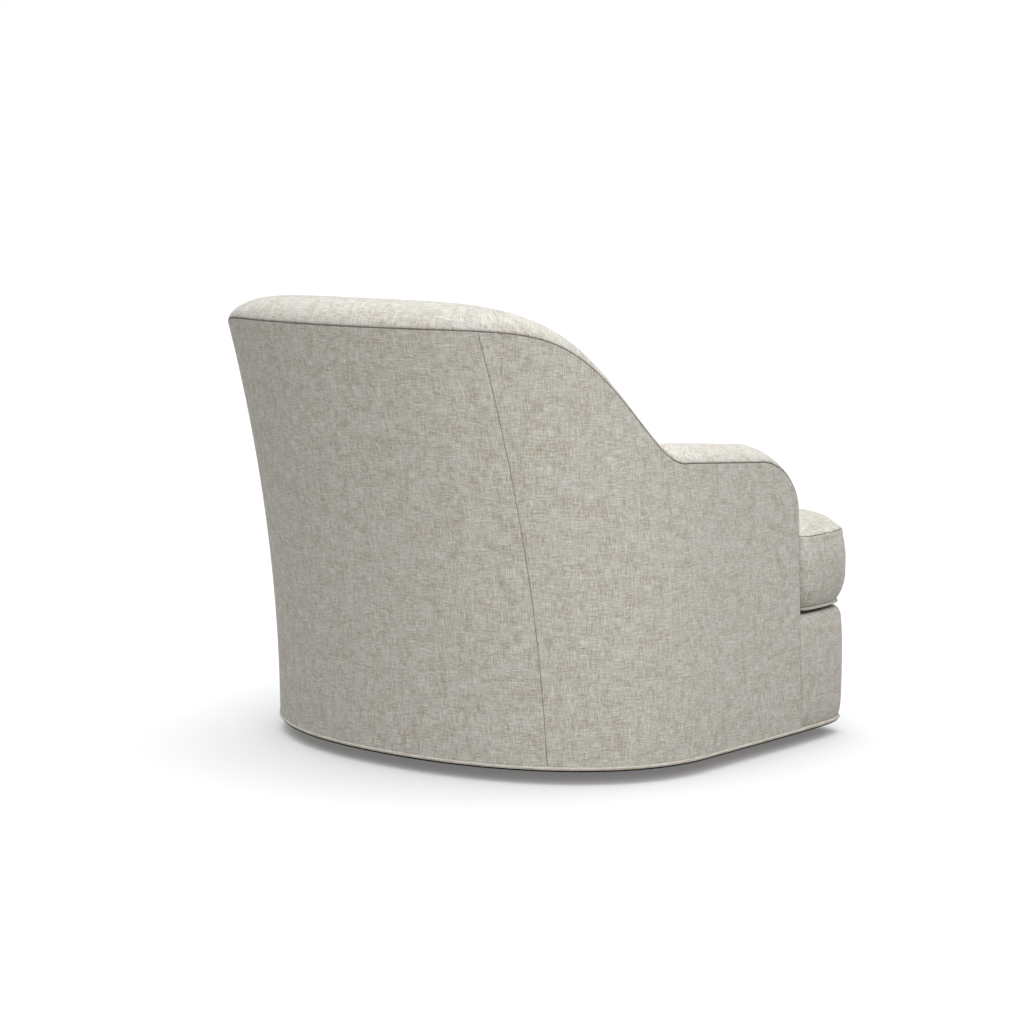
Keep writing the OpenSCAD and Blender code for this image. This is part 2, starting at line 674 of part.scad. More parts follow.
// Wing rails under the rising seam, and leaning posts in the back
wing_steps = 10;
wing_from = place_at(arc_y + seam_gap, arm_seam_h - arm_fall - crown_t - 2 * ply_t);
wing_to = back_seam - 3 * look_share;
function wing_top(q) = seam_z(q, 0) - (crown_t + ply_t) / crown_way(q)[2];
function wing_row(q, z) =
    [for (inset = [rail_inset, rail_inset + rail_w]) concat(outer_xy(q, z, inset), [z])];
wing_places = [for (t = steps(wing_steps)) mix(wing_from, wing_to, t)];
module wing_rail() color("#c9a877") slab(
    [for (q = wing_places) wing_row(q, wing_top(q))],
    [for (q = wing_places) wing_row(q, wing_top(q) - ply_t)]);
module wing_rail_right() wing_rail();
module wing_rail_left() mirror([1, 0, 0]) wing_rail();
post_places = [1.3, 1.72];
post_width_share = 0.05;
post_levels = 6;
module post(q, high) slab(
    [for (side = [-1, 1])
        [for (t = steps(post_levels))
            let (z = mix(rail_top, high, t))
            concat(outer_xy(q + side * post_width_share, z, rail_inset + seam_gap), [z])]],
    [for (side = [-1, 1])
        [for (t = steps(post_levels))
            let (z = mix(rail_top, high, t))
            concat(outer_xy(q + side * post_width_share, z, rail_inset + ply_t), [z])]]);
module back_posts() color("#c9a877") both_sides() {
    post(post_places[0], wing_top(post_places[0] - post_width_share) - ply_t - seam_gap);
    post(post_places[1], back_seam_h - crown_t - 2 * ply_t);
}

// Zigzag springs from the front rail to the seat's back rail, and their clips
zig_pitch = 44;
zig_steps = 6;
zig_half = 22;
strand_spread_share = 0.66;
strand_x = [for (i = [0:strands - 1])
    (i / (strands - 1) - 0.5) * 2 * return_x * strand_spread_share];
function strand_end(x) = outer_xy(2, seat_rail_low, rail_inset + rail_w / 2)[1]
    - (back_reach - back_reach * power(1 - power(abs(x) / side_x, outline_power),
        1 / outline_power));
module strand(x) {
    from = front_rail_y + ply_t / 2;
    length = strand_end(x) - from;
    loops = floor(length / zig_pitch);
    count = loops * zig_steps;
    spine = [for (i = [0:count])
        [x + zig_half * sin(360 * i / zig_steps), from + length * i / count]];
    function edge(i, way) =
        let (run = spine[min(i + 1, count)] - spine[max(i - 1, 0)])
        spine[i] + way * strand_wire / 2 * [run[1], -run[0]] / norm(run);
    translate([0, 0, rail_top]) linear_extrude(strand_wire) polygon(concat(
        [for (i = [0:count]) edge(i, 1)],
        [for (i = [count:-1:0]) edge(i, -1)]));
}
module seat_springs() color("#8f9194") for (x = strand_x) strand(x);
clip_d = 12;
clip_h = strand_wire + seam_gap + clip_t;
module spring_clip(y) translate([0, y, rail_top]) difference() {
    translate([-zig_half - clip_t, -clip_d / 2, 0]) cube([2 * (zig_half + clip_t), clip_d, clip_h]);
    translate([-zig_half, -clip_d, -overrun])
        cube([2 * zig_half, 2 * clip_d, clip_h - clip_t + overrun]);
}
module spring_clips() color("#7d7f82") for (x = strand_x) translate([x, 0, 0]) {
    spring_clip(front_rail_y + ply_t / 2);
    spring_clip(strand_end(x));
}

// Deck: padding under tight cloth, behind the apron and between the arm pads
module seat_deck() color("#cfcbc2") translate([0, 0, deck_h - deck_t])
    linear_extrude(deck_t) polygon(mirrored(concat(
        front_half(apron_t + seam_gap, corner_y),
        [
            [half_w - apron_t - seam_gap, board_y - seam_gap],
            [inner_half + pad_t - seam_gap, board_y - seam_gap]
        ],
        [for (t = steps(rail_steps))
            inner_xy(mix(1, 2 - 1 / (2 * rail_steps), t), deck_h, pad_t - seam_gap, board_y)])));

// Dust cover under the cross rails, cut out round the bracket
cover_t = 1;
module dust_cover() color("#1d1d1f") at_axis() difference() {
    translate([-board_x + seam_gap, -bracket_bolt_y - cross_w / 2, cross_low - cover_t])
        cube([2 * (board_x - seam_gap), 2 * bracket_bolt_y + cross_w, cover_t]);
    translate([-bracket_half - seam_gap, -bracket_y - seam_gap, cross_low - cover_t - overrun])
        cube([2 * (bracket_half + seam_gap), 2 * (bracket_y + seam_gap), cover_t + 2 * overrun]);
}

// Outer panels, from the welt up to the seam
fabric = "#cdc8be";
panel_rows = 9;
arm_steps = 9;
wing_panel_steps = 8;
edge_share = 0.001;
back_steps = 8;
function panel_column(q, side, inset) =
    let (high = seam_z(q, 0) - seam_gap)
    [for (t = steps(panel_rows))
        let (z = mix(panel_low, high, t), spot = outer_xy(q, z, inset))
        [side * spot[0], spot[1], z]];
arm_places = concat(
    [for (t = steps(arm_steps)) 1 - cos(90 * t)],
    [for (i = [1:wing_panel_steps]) mix(1, back_seam - edge_share, i / wing_panel_steps)]);
back_places = [for (i = [-back_steps:back_steps]) 2 - (2 - back_seam) * abs(i) / back_steps];
back_sides = [for (i = [-back_steps:back_steps]) i <= 0 ? 1 : -1];
module outer_arm() color(fabric) slab(
    [for (q = arm_places) panel_column(q, 1, 0)],
    [for (q = arm_places) panel_column(q, 1, panel_t)]);
module outer_arm_right() outer_arm();
module outer_arm_left() mirror([1, 0, 0]) outer_arm();
module outer_back() color(fabric) slab(
    [for (i = [0:2 * back_steps]) panel_column(back_places[i], back_sides[i], 0)],
    [for (i = [0:2 * back_steps]) panel_column(back_places[i], back_sides[i], panel_t)]);

// Inner pads: over the crown from the seam, then down the inner face to the deck
crown_shares = [0, 0.05, 0.13, 0.24, 0.37, 0.54, 0.71, 0.86, 0.95, 1];
face_levels = 5;
pad_low = deck_h + soft_gap;
rim_share = 0.1;
function pad_spot(q, share, sunk) =
    sunk == 0
    ? pad_point(q, share, 0)
    : pad_point(q, mix(rim_share, 1 - pad_t / thickness(q), share), crown_depth(q));
function pad_row(q, side, sunk) =
    let (
        last = behind_board(pad_spot(q, 1, sunk)),
        top = last[2] - (sunk > 0 ? pad_t : 0),
        surface = behind_board(pad_spot(q, 1, 0)),
        forward = surface[1] - inner_xy(q, surface[2], 0, board_y)[1]
    )
    [for (point = concat(
        [seam_rim(q, sunk > 0 ? rail_inset : 0)],
        [for (i = [1:len(crown_shares) - 2]) pad_spot(q, crown_shares[i], sunk)],
        [last],
        [for (i = [1:face_levels])
            let (
                z = mix(top, pad_low, i / face_levels),
                spot = inner_xy(q, z, sunk > 0 ? pad_t : 0, board_y)
            )
            [spot[0], spot[1] + forward * (1 - i / face_levels), z]]))
        [side * point[0], point[1], point[2]]];
function behind_board(point) = [point[0], max(point[1], board_y), point[2]];
function thickness(q) =
    let (z = seam_z(q, 0)) norm(outer_xy(q, z, 0) - inner_xy(q, z, 0, arm_front_y(z)));
function seam_rim(q, inset) =
    let (z = seam_z(q, 0), spot = outer_xy(q, z, inset)) [spot[0], spot[1], z];
module inner_arm() color(fabric) slab(
    [for (q = arm_places) pad_row(q, 1, 0)],
    [for (q = arm_places) pad_row(q, 1, 1)]);
module inner_arm_right() inner_arm();
module inner_arm_left() mirror([1, 0, 0]) inner_arm();
module inner_back() color(fabric) slab(
    [for (i = [0:2 * back_steps]) pad_row(back_places[i], back_sides[i], 0)],
    [for (i = [0:2 * back_steps]) pad_row(back_places[i], back_sides[i], 1)]);

// Padded fronts of the arms, below the rolled corner
facing_rows = 6;
facing_low = deck_h + soft_gap;
function facing_row(z, sunk) = [for (share = crown_shares)
    [
        mix(half_w - panel_t - seam_gap, inner_half, share),
        sunk > 0 ? board_y - seam_gap : arm_front_y(z) - crown(0, share),
        z
    ]];
module arm_front() color(fabric) slab(
    [for (t = steps(facing_rows))
        facing_row(mix(facing_low, corner_base_h - seam_gap, t), 0)],
    [for (t = steps(facing_rows))
        facing_row(mix(facing_low, corner_base_h - seam_gap, t), 1)]);
module arm_front_right() arm_front();
module arm_front_left() mirror([1, 0, 0]) arm_front();

// Apron: padding round the front of the seat frame, rolled in at the top and the bottom
apron_top = deck_h;
apron_levels = [
    [panel_low, welt_r], [panel_low + 4 * welt_r, welt_r / 3], [panel_low + 8 * welt_r, 0],
    [apron_top - 6 * welt_r, 0], [apron_top - 3 * welt_r, welt_r / 2],
    [apron_top - welt_r, 2 * welt_r], [apron_top, 5 * welt_r]
];
function apron_path(inset, z) = concat(
    front_half(inset, corner_y), [[half_w - inset, arm_front_y(z) - soft_gap]]);
function apron_column(i, side, back) = [for (level = apron_levels)
    let (spot = apron_path(back ? apron_t : level[1], level[0])[i])
    [side * spot[0], spot[1], level[0]]];
module front_apron() color(fabric) {
    count = len(apron_path(0, 0));
    order = concat([for (i = [count - 1:-1:0]) [i, -1]], [for (i = [0:count - 1]) [i, 1]]);
    slab(
        [for (spot = order) apron_column(spot[0], spot[1], false)],
        [for (spot = order) apron_column(spot[0], spot[1], true)]);
}

// Welt cord round the bottom edge, inset a little under the apron
welt_steps = 12;
welt_inset = 2;
apron_welt_inset = 4;
welt_half = concat(
    [for (spot = front_half(apron_welt_inset, corner_y)) [spot[0], spot[1], floor_gap + welt_r]],
    [for (q = concat([0, 0.4, 0.8], [for (i = [1:welt_steps]) mix(1, 2, (i - 0.5) / welt_steps)]))
        let (spot = outer_xy(q, floor_gap + welt_r, welt_inset))
        [spot[0], spot[1], floor_gap + welt_r]]);
module bottom_welt() color(fabric) closed_cord(concat(
    welt_half,
    [for (i = [len(welt_half) - 1:-1:0]) [-welt_half[i][0], welt_half[i][1], welt_half[i][2]]]),
    welt_r);

// Cushion: a T with ears in front of the arms, boxed, crowned and drawn in at its seams
ear_back_y = arm_front_y(deck_h) - front_crown - boxing_bulge - cushion_play;
ear_turn = 24;
neck_turn = 14;
body_half = inner_half - boxing_bulge - cushion_play;
neck_steps = 3;
rear_steps = 8;
cushion_low = deck_h + soft_gap;
low_seam_z = deck_h + low_seam;
high_seam_z = low_seam_z + boxing_h;
function arc_at(centre, radius, from, to, count) = [for (t = steps(count))
    centre + radius * [cos(mix(from, to, t)), sin(mix(from, to, t))]];
function cushion_half(inset, z) = concat(
    front_half(inset, ear_back_y - inset - ear_turn),
    arc_at([half_w - inset - ear_turn, ear_back_y - inset - ear_turn], ear_turn, 0, 90,
        neck_steps),
    arc_at([body_half - inset + neck_turn, ear_back_y - inset + neck_turn], neck_turn, 270, 180,
        neck_steps),
    [for (t = steps(rear_steps))
        let (
            p = mix(1, 2 - 1 / (2 * rear_steps), t),
            reach = inner_reach - boxing_bulge - cushion_play - inset
        )
        [
            (body_half - inset) * across(p),
            inner_back_y - inner_reach + (z - deck_h) * tan(recline) + reach * behind(p)
        ]]);
function cushion_ring(level) = [for (spot = mirrored(cushion_half(level[1], level[0])))
    [spot[0], spot[1], level[0]]];

// Rounding of the cushion as pairs: a share of the height, then a share of an ear's depth under
// and over its boxing, and a share of the bulge along it
low_seam_inset = 9;
ear_depth = ear_back_y - arc_y + apron_reach;
under_shares = [[0, 0.2], [0.3, 0.13]];
boxing_shares = [
    [0, -low_seam_inset / boxing_bulge], [0.16, -0.2], [0.38, 1], [0.62, 1], [0.86, 0.2], [1, -0.5]
];
over_shares = [[0.34, 0.075], [0.66, 0.17], [0.89, 0.285], [1, 0.405]];
cushion_levels = concat(
    [for (spot = under_shares) [mix(cushion_low, low_seam_z, spot[0]), ear_depth * spot[1]]],
    [for (spot = boxing_shares) [mix(low_seam_z, high_seam_z, spot[0]), -boxing_bulge * spot[1]]],
    [for (spot = over_shares) [high_seam_z + cushion_crown * spot[0], ear_depth * spot[1]]]);
module seat_cushion() color(fabric) stack([for (level = cushion_levels) cushion_ring(level)]);
cord_inset = low_seam_inset - welt_r - seam_gap;
module cushion_welt() color(fabric) closed_cord(
    [for (spot = mirrored(cushion_half(cord_inset, low_seam_z))) [spot[0], spot[1], low_seam_z]],
    welt_r);

base_ring();
floor_glides();
lower_race();
bearing_balls();
king_bolt();
king_nut();
upper_race();
rocker_cradle();
pivot_bushings();
lower_spring_seats();
cradle_bolts();
rocker_bracket();
pivot_pins();
upper_spring_seats();
front_springs();
rear_springs();
bracket_bolts();
cross_rails();
corner_blocks();
front_rail();
bottom_back_rail();
bottom_rail_left();
bottom_rail_right();
seat_back_rail();
seat_rail_left();
seat_rail_right();
arm_board_left();
arm_board_right();
front_board_left();
front_board_right();
arm_rail_left();
arm_rail_right();
wing_rail_left();
wing_rail_right();
back_posts();
top_rail();
seat_springs();
spring_clips();
seat_deck();
dust_cover();
outer_back();
outer_arm_left();
outer_arm_right();
inner_back();
inner_arm_left();
inner_arm_right();
arm_front_left();
arm_front_right();
front_apron();
bottom_welt();
seat_cushion();
cushion_welt();
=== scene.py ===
"""A barrel-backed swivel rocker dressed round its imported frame: covers, crowned padding, a loose
cushion and its cords, round-wire springs, and the finishes of linen, wood, steel and nylon."""
import math

import bpy
import numpy as np
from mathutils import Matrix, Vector


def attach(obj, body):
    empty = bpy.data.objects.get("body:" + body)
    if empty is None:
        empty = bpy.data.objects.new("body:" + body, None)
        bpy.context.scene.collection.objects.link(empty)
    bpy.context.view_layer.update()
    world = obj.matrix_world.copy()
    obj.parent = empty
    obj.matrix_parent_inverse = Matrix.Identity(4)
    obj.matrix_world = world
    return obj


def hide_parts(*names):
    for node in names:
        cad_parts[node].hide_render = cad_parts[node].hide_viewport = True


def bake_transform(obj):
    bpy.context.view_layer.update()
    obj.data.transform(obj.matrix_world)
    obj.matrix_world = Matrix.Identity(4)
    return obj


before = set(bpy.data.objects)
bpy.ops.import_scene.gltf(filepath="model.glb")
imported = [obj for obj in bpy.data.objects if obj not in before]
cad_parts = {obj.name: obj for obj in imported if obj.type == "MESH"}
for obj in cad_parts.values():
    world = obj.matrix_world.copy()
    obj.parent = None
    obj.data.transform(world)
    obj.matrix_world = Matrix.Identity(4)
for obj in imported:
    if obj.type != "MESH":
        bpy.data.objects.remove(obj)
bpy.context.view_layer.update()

MM = 0.001

# Shell, in millimetres, the sitter faces -Y
HALF_W = 480.0
BACK_REACH = 346.0
ARC_Y = 5.5
ARM_RUN = 298.0
ARM_RAKE = 18.0
BACK_LEAN = 133.0
LEAN_POWER = 1.97
OUTLINE_POWER = 2.18
FLOOR_GAP = 27.0
BACK_SEAM_H = 813.0
ARM_SEAM_H = 568.0
ARM_FALL = 16.0
CORNER_H = 107.0
CORNER_RUN = 132.0
CORNER_BASE_H = ARM_SEAM_H - ARM_FALL - CORNER_H
RISE_RUN = 152.0
RISE_POWER = 2.52
BACK_SEAM = 1.6
CROWN_SEAM = 1.67
SEAM_LOW_ANGLE = 40.5
SEAM_TOP_ANGLE = 35.3

# Padding
ARM_W = 165.0
INNER_HALF = HALF_W - ARM_W
INNER_REACH = 230.0
INNER_BACK_Y = 93.5
RECLINE = math.tan(math.radians(18.8))
BACK_CROWN = 47.0
ARM_CROWN = 28.0
FRONT_CROWN = 4.0
SLOPE_DIP = 14.0
INNER_ROLL = 45.0
FRONT_ROLL = 18.0
PEAK_SHARE = 0.37
CROWN_POWER = 1.75
ROLL_POWER = 2.2
INWARD_FALL = 144.0
PAD_T = 60.0
CROWN_T = 34.0
RIM_SHARE = 0.1
FACING_T = 25.0
PANEL_T = 6.0
RAIL_INSET = 9.0
WELT_R = 3.0
SEAM_GAP = 0.4
SOFT_GAP = 0.3

# Seat
DECK_H = 247.0
APRON_REACH = 474.0
APRON_BOW = 10.0
CORNER_W = 50.0
CORNER_D = 160.0
CORNER_POWER = 2.8
CORNER_KEEP = 20.0
APRON_T = 26.0
APRON_WELT_INSET = 4.0
PANEL_WELT_INSET = 2.0
LOW_SEAM = 10.0
BOXING_H = 139.0
BOXING_BULGE = 6.0
CUSHION_PLAY = 3.0
EAR_TURN = 24.0
NECK_TURN = 14.0

PANEL_LOW = FLOOR_GAP + 2 * WELT_R + SEAM_GAP
LOOK_SHARE = 0.004


# Arithmetic on arrays of places, in the part's own terms
def mix(a, b, t):
    """The value a share t of the way from a to b."""
    return a + (b - a) * t


def power(base, exponent):
    """The base, never below zero, to a power."""
    return np.maximum(base, 0.0) ** exponent


def round_off(t, exponent):
    """A quarter of a superellipse that rises from 0 to 1 and ends level."""
    return power(1 - power(1 - np.clip(t, 0, 1), exponent), 1 / exponent)


def high_share(z):
    """Height as a share of the way from the bottom edge to the back's seam."""
    return (z - FLOOR_GAP) / (BACK_SEAM_H - FLOOR_GAP)


def lean(z):
    """How far the outline has moved back at a height: a power of the height's share."""
    return BACK_LEAN * power(high_share(z), LEAN_POWER)


def arm_front(z):
    """Front edge of an arm, which leans back evenly."""
    return ARC_Y - ARM_RUN + ARM_RAKE * (z - FLOOR_GAP) / (CORNER_BASE_H - FLOOR_GAP)


def bend(q, z):
    """Places between 1 and 2 moved so that the vertical seam stands at its own angle."""
    seam = 2 - mix(SEAM_LOW_ANGLE, SEAM_TOP_ANGLE, high_share(z)) / 90
    wing = 1 + (q - 1) * (seam - 1) / (BACK_SEAM - 1)
    back = 2 - (2 - q) * (2 - seam) / (2 - BACK_SEAM)
    return np.where(q <= 1, q, np.where(q <= BACK_SEAM, wing, back))


def across(p):
    """Share of the half width: 1 along the arm, then the sine of a superellipse."""
    return np.where(p < 1, 1.0, power(np.sin(np.radians(90 * (2 - np.clip(p, 1, 2)))),
                                      2 / OUTLINE_POWER))


def behind(p):
    """Share of the reach behind the arm: 0 along it, then the cosine of a superellipse."""
    return np.where(p < 1, 0.0, power(np.cos(np.radians(90 * (2 - np.clip(p, 1, 2)))),
                                      2 / OUTLINE_POWER))


def outer_xy(q, z, inset=0.0):
    """Plan point of the outer shell at a place and a height, inset by a distance."""
    p = bend(q, z)
    middle = ARC_Y + lean(z)
    along = mix(arm_front(z), middle, np.minimum(p, 1))
    return (HALF_W - inset) * across(p), along + (BACK_REACH - inset) * behind(p)


def inner_xy(q, z, front, inset=0.0):
    """Plan point of the inner faces, which start at their own front and recline behind."""
    p = bend(q, z)
    middle = INNER_BACK_Y - INNER_REACH + (z - DECK_H) * RECLINE
    along = mix(front, middle, np.minimum(p, 1))
    return (INNER_HALF + inset) * across(p), along + (INNER_REACH + inset) * behind(p)


def seam_z(q, depth=0.0):
    """Height of the top seam: a round corner, a slow fall along the arm, then a rise that
    dies away exponentially towards the back. Depth lies inside the outline."""
    p = bend(q, BACK_SEAM_H)
    run_length = ARM_RUN - ARM_RAKE + lean(ARM_SEAM_H - ARM_FALL)
    run = p * run_length
    arm = (CORNER_BASE_H + CORNER_H * round_off(run / CORNER_RUN, 2)
           + ARM_FALL * np.clip((run - CORNER_RUN) / (run_length - CORNER_RUN), 0, 1))
    rise = 1 - np.exp(-power((BACK_REACH * behind(p) - depth) / RISE_RUN, RISE_POWER))
    return np.where(p < 1, arm, ARM_SEAM_H + (BACK_SEAM_H - ARM_SEAM_H) * rise)


def corner_share():
    """Place at which the arm's rounded front corner ends."""
    return CORNER_RUN / (ARM_RUN - ARM_RAKE + lean(ARM_SEAM_H - ARM_FALL))


def points(x, y, z):
    """Three arrays as one array of points."""
    return np.stack(np.broadcast_arrays(x, y, z), -1).astype(float)


def unit(vectors):
    """Vectors of length one."""
    return vectors / np.maximum(np.linalg.norm(vectors, axis=-1, keepdims=True), 1e-12)


def seam_point(q):
    """Point of the top seam at a place."""
    z = seam_z(q)
    return points(*outer_xy(q, z), z)


def crown_way(q):
    """Direction of the crown: straight up, less its part along the seam's run."""
    run = unit(seam_point(np.minimum(q + LOOK_SHARE, 2)) - seam_point(np.maximum(q - LOOK_SHARE, 0)))
    run = np.where((q > 2 - LOOK_SHARE)[..., None], [-1.0, 0.0, 0.0], run)
    way = unit(np.array([0.0, 0.0, 1.0]) - run[..., 2:3] * run)
    return np.where((q <= 0)[..., None], [0.0, -1.0, 0.0], way)


def crown(q, share):
    """Height over the seam: up a quarter superellipse to the peak, then down a second one."""
    turn = np.sin(np.radians(90 * np.clip(q / corner_share(), 0, 1)))
    rise = np.clip((seam_z(q) - ARM_SEAM_H) / (BACK_SEAM_H - ARM_SEAM_H), 0, 1)
    on_corner = q < corner_share()
    high = np.where(on_corner, mix(FRONT_CROWN, ARM_CROWN, turn),
                    mix(ARM_CROWN, BACK_CROWN, rise) - 4 * SLOPE_DIP * rise * (1 - rise))
    roll = np.where(on_corner, mix(FRONT_ROLL, INNER_ROLL, turn), INNER_ROLL)
    past = np.clip((share - PEAK_SHARE) / (1 - PEAK_SHARE), 0, 1)
    falling = high - (high + roll) * (1 - power(1 - past ** ROLL_POWER, 1 / ROLL_POWER))
    return np.where(share <= PEAK_SHARE, high * round_off(share / PEAK_SHARE, CROWN_POWER), falling)


def pad_point(q, share, sunk=0.0):
    """A point of the padding from the seam, share 0, to the inner face, share 1."""
    z = seam_z(q, INWARD_FALL * share)
    outer = points(*outer_xy(q, z), z)
    inner = points(*inner_xy(q, z, arm_front(z)), z)
    return mix(outer, inner, share[..., None]) + (crown(q, share) - sunk)[..., None] * crown_way(q)


# Meshes: grids of points whose columns run to the right and rows run up, seen from outside
def grid_faces(rows, cols, wrap_rows=False, wrap_cols=False):
    """Four (row, column) pairs for each quad of a grid, not yet wrapped round."""
    i, j = np.meshgrid(np.arange(rows - 1 + wrap_rows), np.arange(cols - 1 + wrap_cols),
                       indexing="ij")
    i, j = i.ravel(), j.ravel()
    return np.stack((i, i, i + 1, i + 1), 1), np.stack((j, j + 1, j + 1, j), 1)


def new_mesh(name, spots, quads, uv, material, smooth=True):
    """An object from points in millimetres, quads of their numbers and a UV pair per corner."""
    mesh = bpy.data.meshes.new(name)
    mesh.vertices.add(len(spots))
    mesh.vertices.foreach_set("co", (np.asarray(spots, float) * MM).astype(np.float32).ravel())
    mesh.loops.add(quads.size)
    mesh.loops.foreach_set("vertex_index", quads.astype(np.int32).ravel())
    mesh.polygons.add(len(quads))
    mesh.polygons.foreach_set("loop_start", np.arange(0, quads.size, 4, dtype=np.int32))
    mesh.update(calc_edges=True)
    mesh.uv_layers.new(name="cloth")
    mesh.uv_layers["cloth"].data.foreach_set("uv", np.asarray(uv, np.float32).ravel())
    mesh.polygons.foreach_set("use_smooth", np.full(len(quads), smooth))
    mesh.materials.append(material)
    mesh.validate()
    piece = bpy.data.objects.new(name, mesh)
    bpy.context.scene.collection.objects.link(piece)
    return piece


def grid_normals(grid):
    """Outward unit normals: the slope along the columns crossed with that along the rows."""
    return unit(np.cross(np.gradient(grid, axis=1), np.gradient(grid, axis=0)))


def travelled(spots, axis):
    """Length gone from the first of some points to each of them, along one axis of their grid."""
    steps = np.diff(spots, axis=axis, prepend=np.take(spots, [0], axis))
    return np.linalg.norm(steps, axis=-1).cumsum(axis)


def edge_distance(grid):
    """Distance of each point from each of the grid's four edges, along its lines."""
    down = travelled(grid, 0)
    over = travelled(grid, 1)
    return np.stack((down, down[-1:] - down, over, over[:, -1:] - over))


def tucked(grid, radii):
    """The grid with its bottom, top, left and right edges rounded inwards by their radii."""
    reach = np.maximum(np.array(radii, float), 1e-6)[:, None, None]
    short = np.clip(1 - edge_distance(grid) / reach, 0, 1)
    sink = (reach * (1 - np.sqrt(1 - short ** 2))).max(0)
    return grid - grid_normals(grid) * sink[..., None]


def shell(name, outside, inside, uv, material):
    """A closed shell: an outer grid, an inner grid of the same size and a strip round both."""
    rows, cols = outside.shape[:2]
    i, j = grid_faces(rows, cols)
    front = i * cols + j
    back = rows * cols + front[:, ::-1]
    bottom = np.arange(cols)
    right = np.arange(rows) * cols + cols - 1
    rim = np.concatenate((bottom[:-1], right[:-1], (rows - 1) * cols + bottom[:0:-1],
                          (right - cols + 1)[:0:-1]))
    after = np.roll(rim, -1)
    strip = np.stack((rim, rim + rows * cols, after + rows * cols, after), 1)
    quads = np.concatenate((front, back, strip))
    spots = np.concatenate((outside.reshape(-1, 3), inside.reshape(-1, 3)))
    flat_uv = uv.reshape(-1, 2)
    return new_mesh(name, spots, quads, flat_uv[quads % (rows * cols)], material)


def cord_parts(path, radius, sides, closed):
    """Points, quads and cloth coordinates of a round cord along a path: each ring stands square
    to the path's run and to level, and an open end is capped."""
    if closed:
        run = unit(np.roll(path, -1, 0) - np.roll(path, 1, 0))
    else:
        run = unit(np.gradient(path, axis=0))
    level = unit(np.cross(run, [0.0, 0.0, 1.0]))
    raised = np.cross(level, run)
    turn = np.radians(360 * np.arange(sides) / sides)[None, :, None]
    rings = path[:, None] + radius * (np.cos(turn) * level[:, None] + np.sin(turn) * raised[:, None])
    length = travelled(path, 0)
    count = len(path)
    i, j = grid_faces(count, sides, closed, True)
    quads = (i % count) * sides + j % sides
    lengths = np.append(length, length[-1] + np.linalg.norm(path[0] - path[-1])) * MM
    uv = np.stack((lengths[i], j / sides * 2 * math.pi * radius * MM), -1)
    if not closed:
        k = np.arange(1, sides // 2)
        cap = np.stack((0 * k, 2 * k - 1, 2 * k, 2 * k + 1), 1)
        ends = np.concatenate((cap, ((count - 1) * sides + cap)[:, ::-1]))
        quads = np.concatenate((quads, ends))
        uv = np.concatenate((uv, np.zeros((len(ends), 4, 2))))
    return rings.reshape(-1, 3), quads[:, ::-1], uv[:, ::-1]


def cords(name, paths, radius, sides, material, closed=True):
    """One mesh of several cords."""
    made = [cord_parts(path, radius, sides, closed) for path in paths]
    starts = np.cumsum([0] + [len(spots) for spots, _, _ in made])
    return new_mesh(name, np.concatenate([spots for spots, _, _ in made]),
                    np.concatenate([quads + start for (_, quads, _), start in zip(made, starts)]),
                    np.concatenate([uv for _, _, uv in made]), material)


FINE = np.array([0, 0.25, 0.6, 1.1, 1.8, 2.8, 4.2, 6.0])


def fine_ended(length, step):
    """Shares from 0 to 1 that lie a step apart on a length, and closer at its ends."""
    count = max(int((length - 2 * FINE[-1]) / step), 2)
    middle = np.linspace(FINE[-1], length - FINE[-1], count + 1)
    return np.concatenate((FINE[:-1], middle, length - FINE[-2::-1])) / length


def fine_start(length, step):
    """Shares from 0 to 1, closer at the start alone."""
    count = max(int((length - FINE[-1]) / step), 2)
    return np.concatenate((FINE[:-1], np.linspace(FINE[-1], length, count + 1))) / length


# Places along the shell: 0 and 4 at the fronts of the right and left arm, 2 at the back's middle
CORNER_STEPS = 26
STRAIGHT_STEPS = 37
GRID_STEP = 6.0
CROWN_STEP = 4.5
FACE_STEP = 9.0
WING_LENGTH = 400.0
BACK_LENGTH = 620.0
PANEL_LENGTH = 650.0
CROWN_LENGTH = 170.0
FACE_LENGTH = 520.0


def arm_places(end=BACK_SEAM):
    """Places of an arm's columns, close at its front corner and at its seam with the back."""
    turn = np.linspace(0, math.pi / 2, CORNER_STEPS + 1)
    corner = corner_share() * (1 - np.cos(turn))
    straight = np.linspace(corner_share(), 1, STRAIGHT_STEPS + 1)[1:]
    wing = 1 + (end - 1) * (1 - fine_start(WING_LENGTH, GRID_STEP)[::-1])
    return np.concatenate((corner, straight, wing[1:]))


def back_places(start=BACK_SEAM):
    """Places of the back's columns, from its right seam to its left one."""
    return mix(start, 4 - start, fine_ended(BACK_LENGTH, GRID_STEP))


def folded(places):
    """A place on either side as its place on the right side, and the sign of its side."""
    return np.minimum(places, 4 - places), np.where(places <= 2, 1.0, -1.0)


def sided(grid, side):
    """The grid with its columns of the left side mirrored."""
    return grid * np.stack((side, np.ones_like(side), np.ones_like(side)), -1)[None]


def panel_grid(places):
    """Outer surface from the welt up to the seam, each column at its own place."""
    q, side = folded(places)
    rows = fine_ended(PANEL_LENGTH, GRID_STEP)
    z = mix(PANEL_LOW, seam_z(q)[None] - SEAM_GAP, rows[:, None])
    x, y = outer_xy(np.broadcast_to(q, z.shape), z)
    return sided(points(x, y, z), side)


def level_run(grid):
    """Level length along each row of a grid, zero at its middle column."""
    run = travelled(grid[..., :2], 1)
    return run - run[:, run.shape[1] // 2][:, None]


def level_uv(grid):
    """Cloth coordinates in metres: level length from the middle column, and height."""
    return np.stack((level_run(grid), grid[..., 2]), -1) * MM


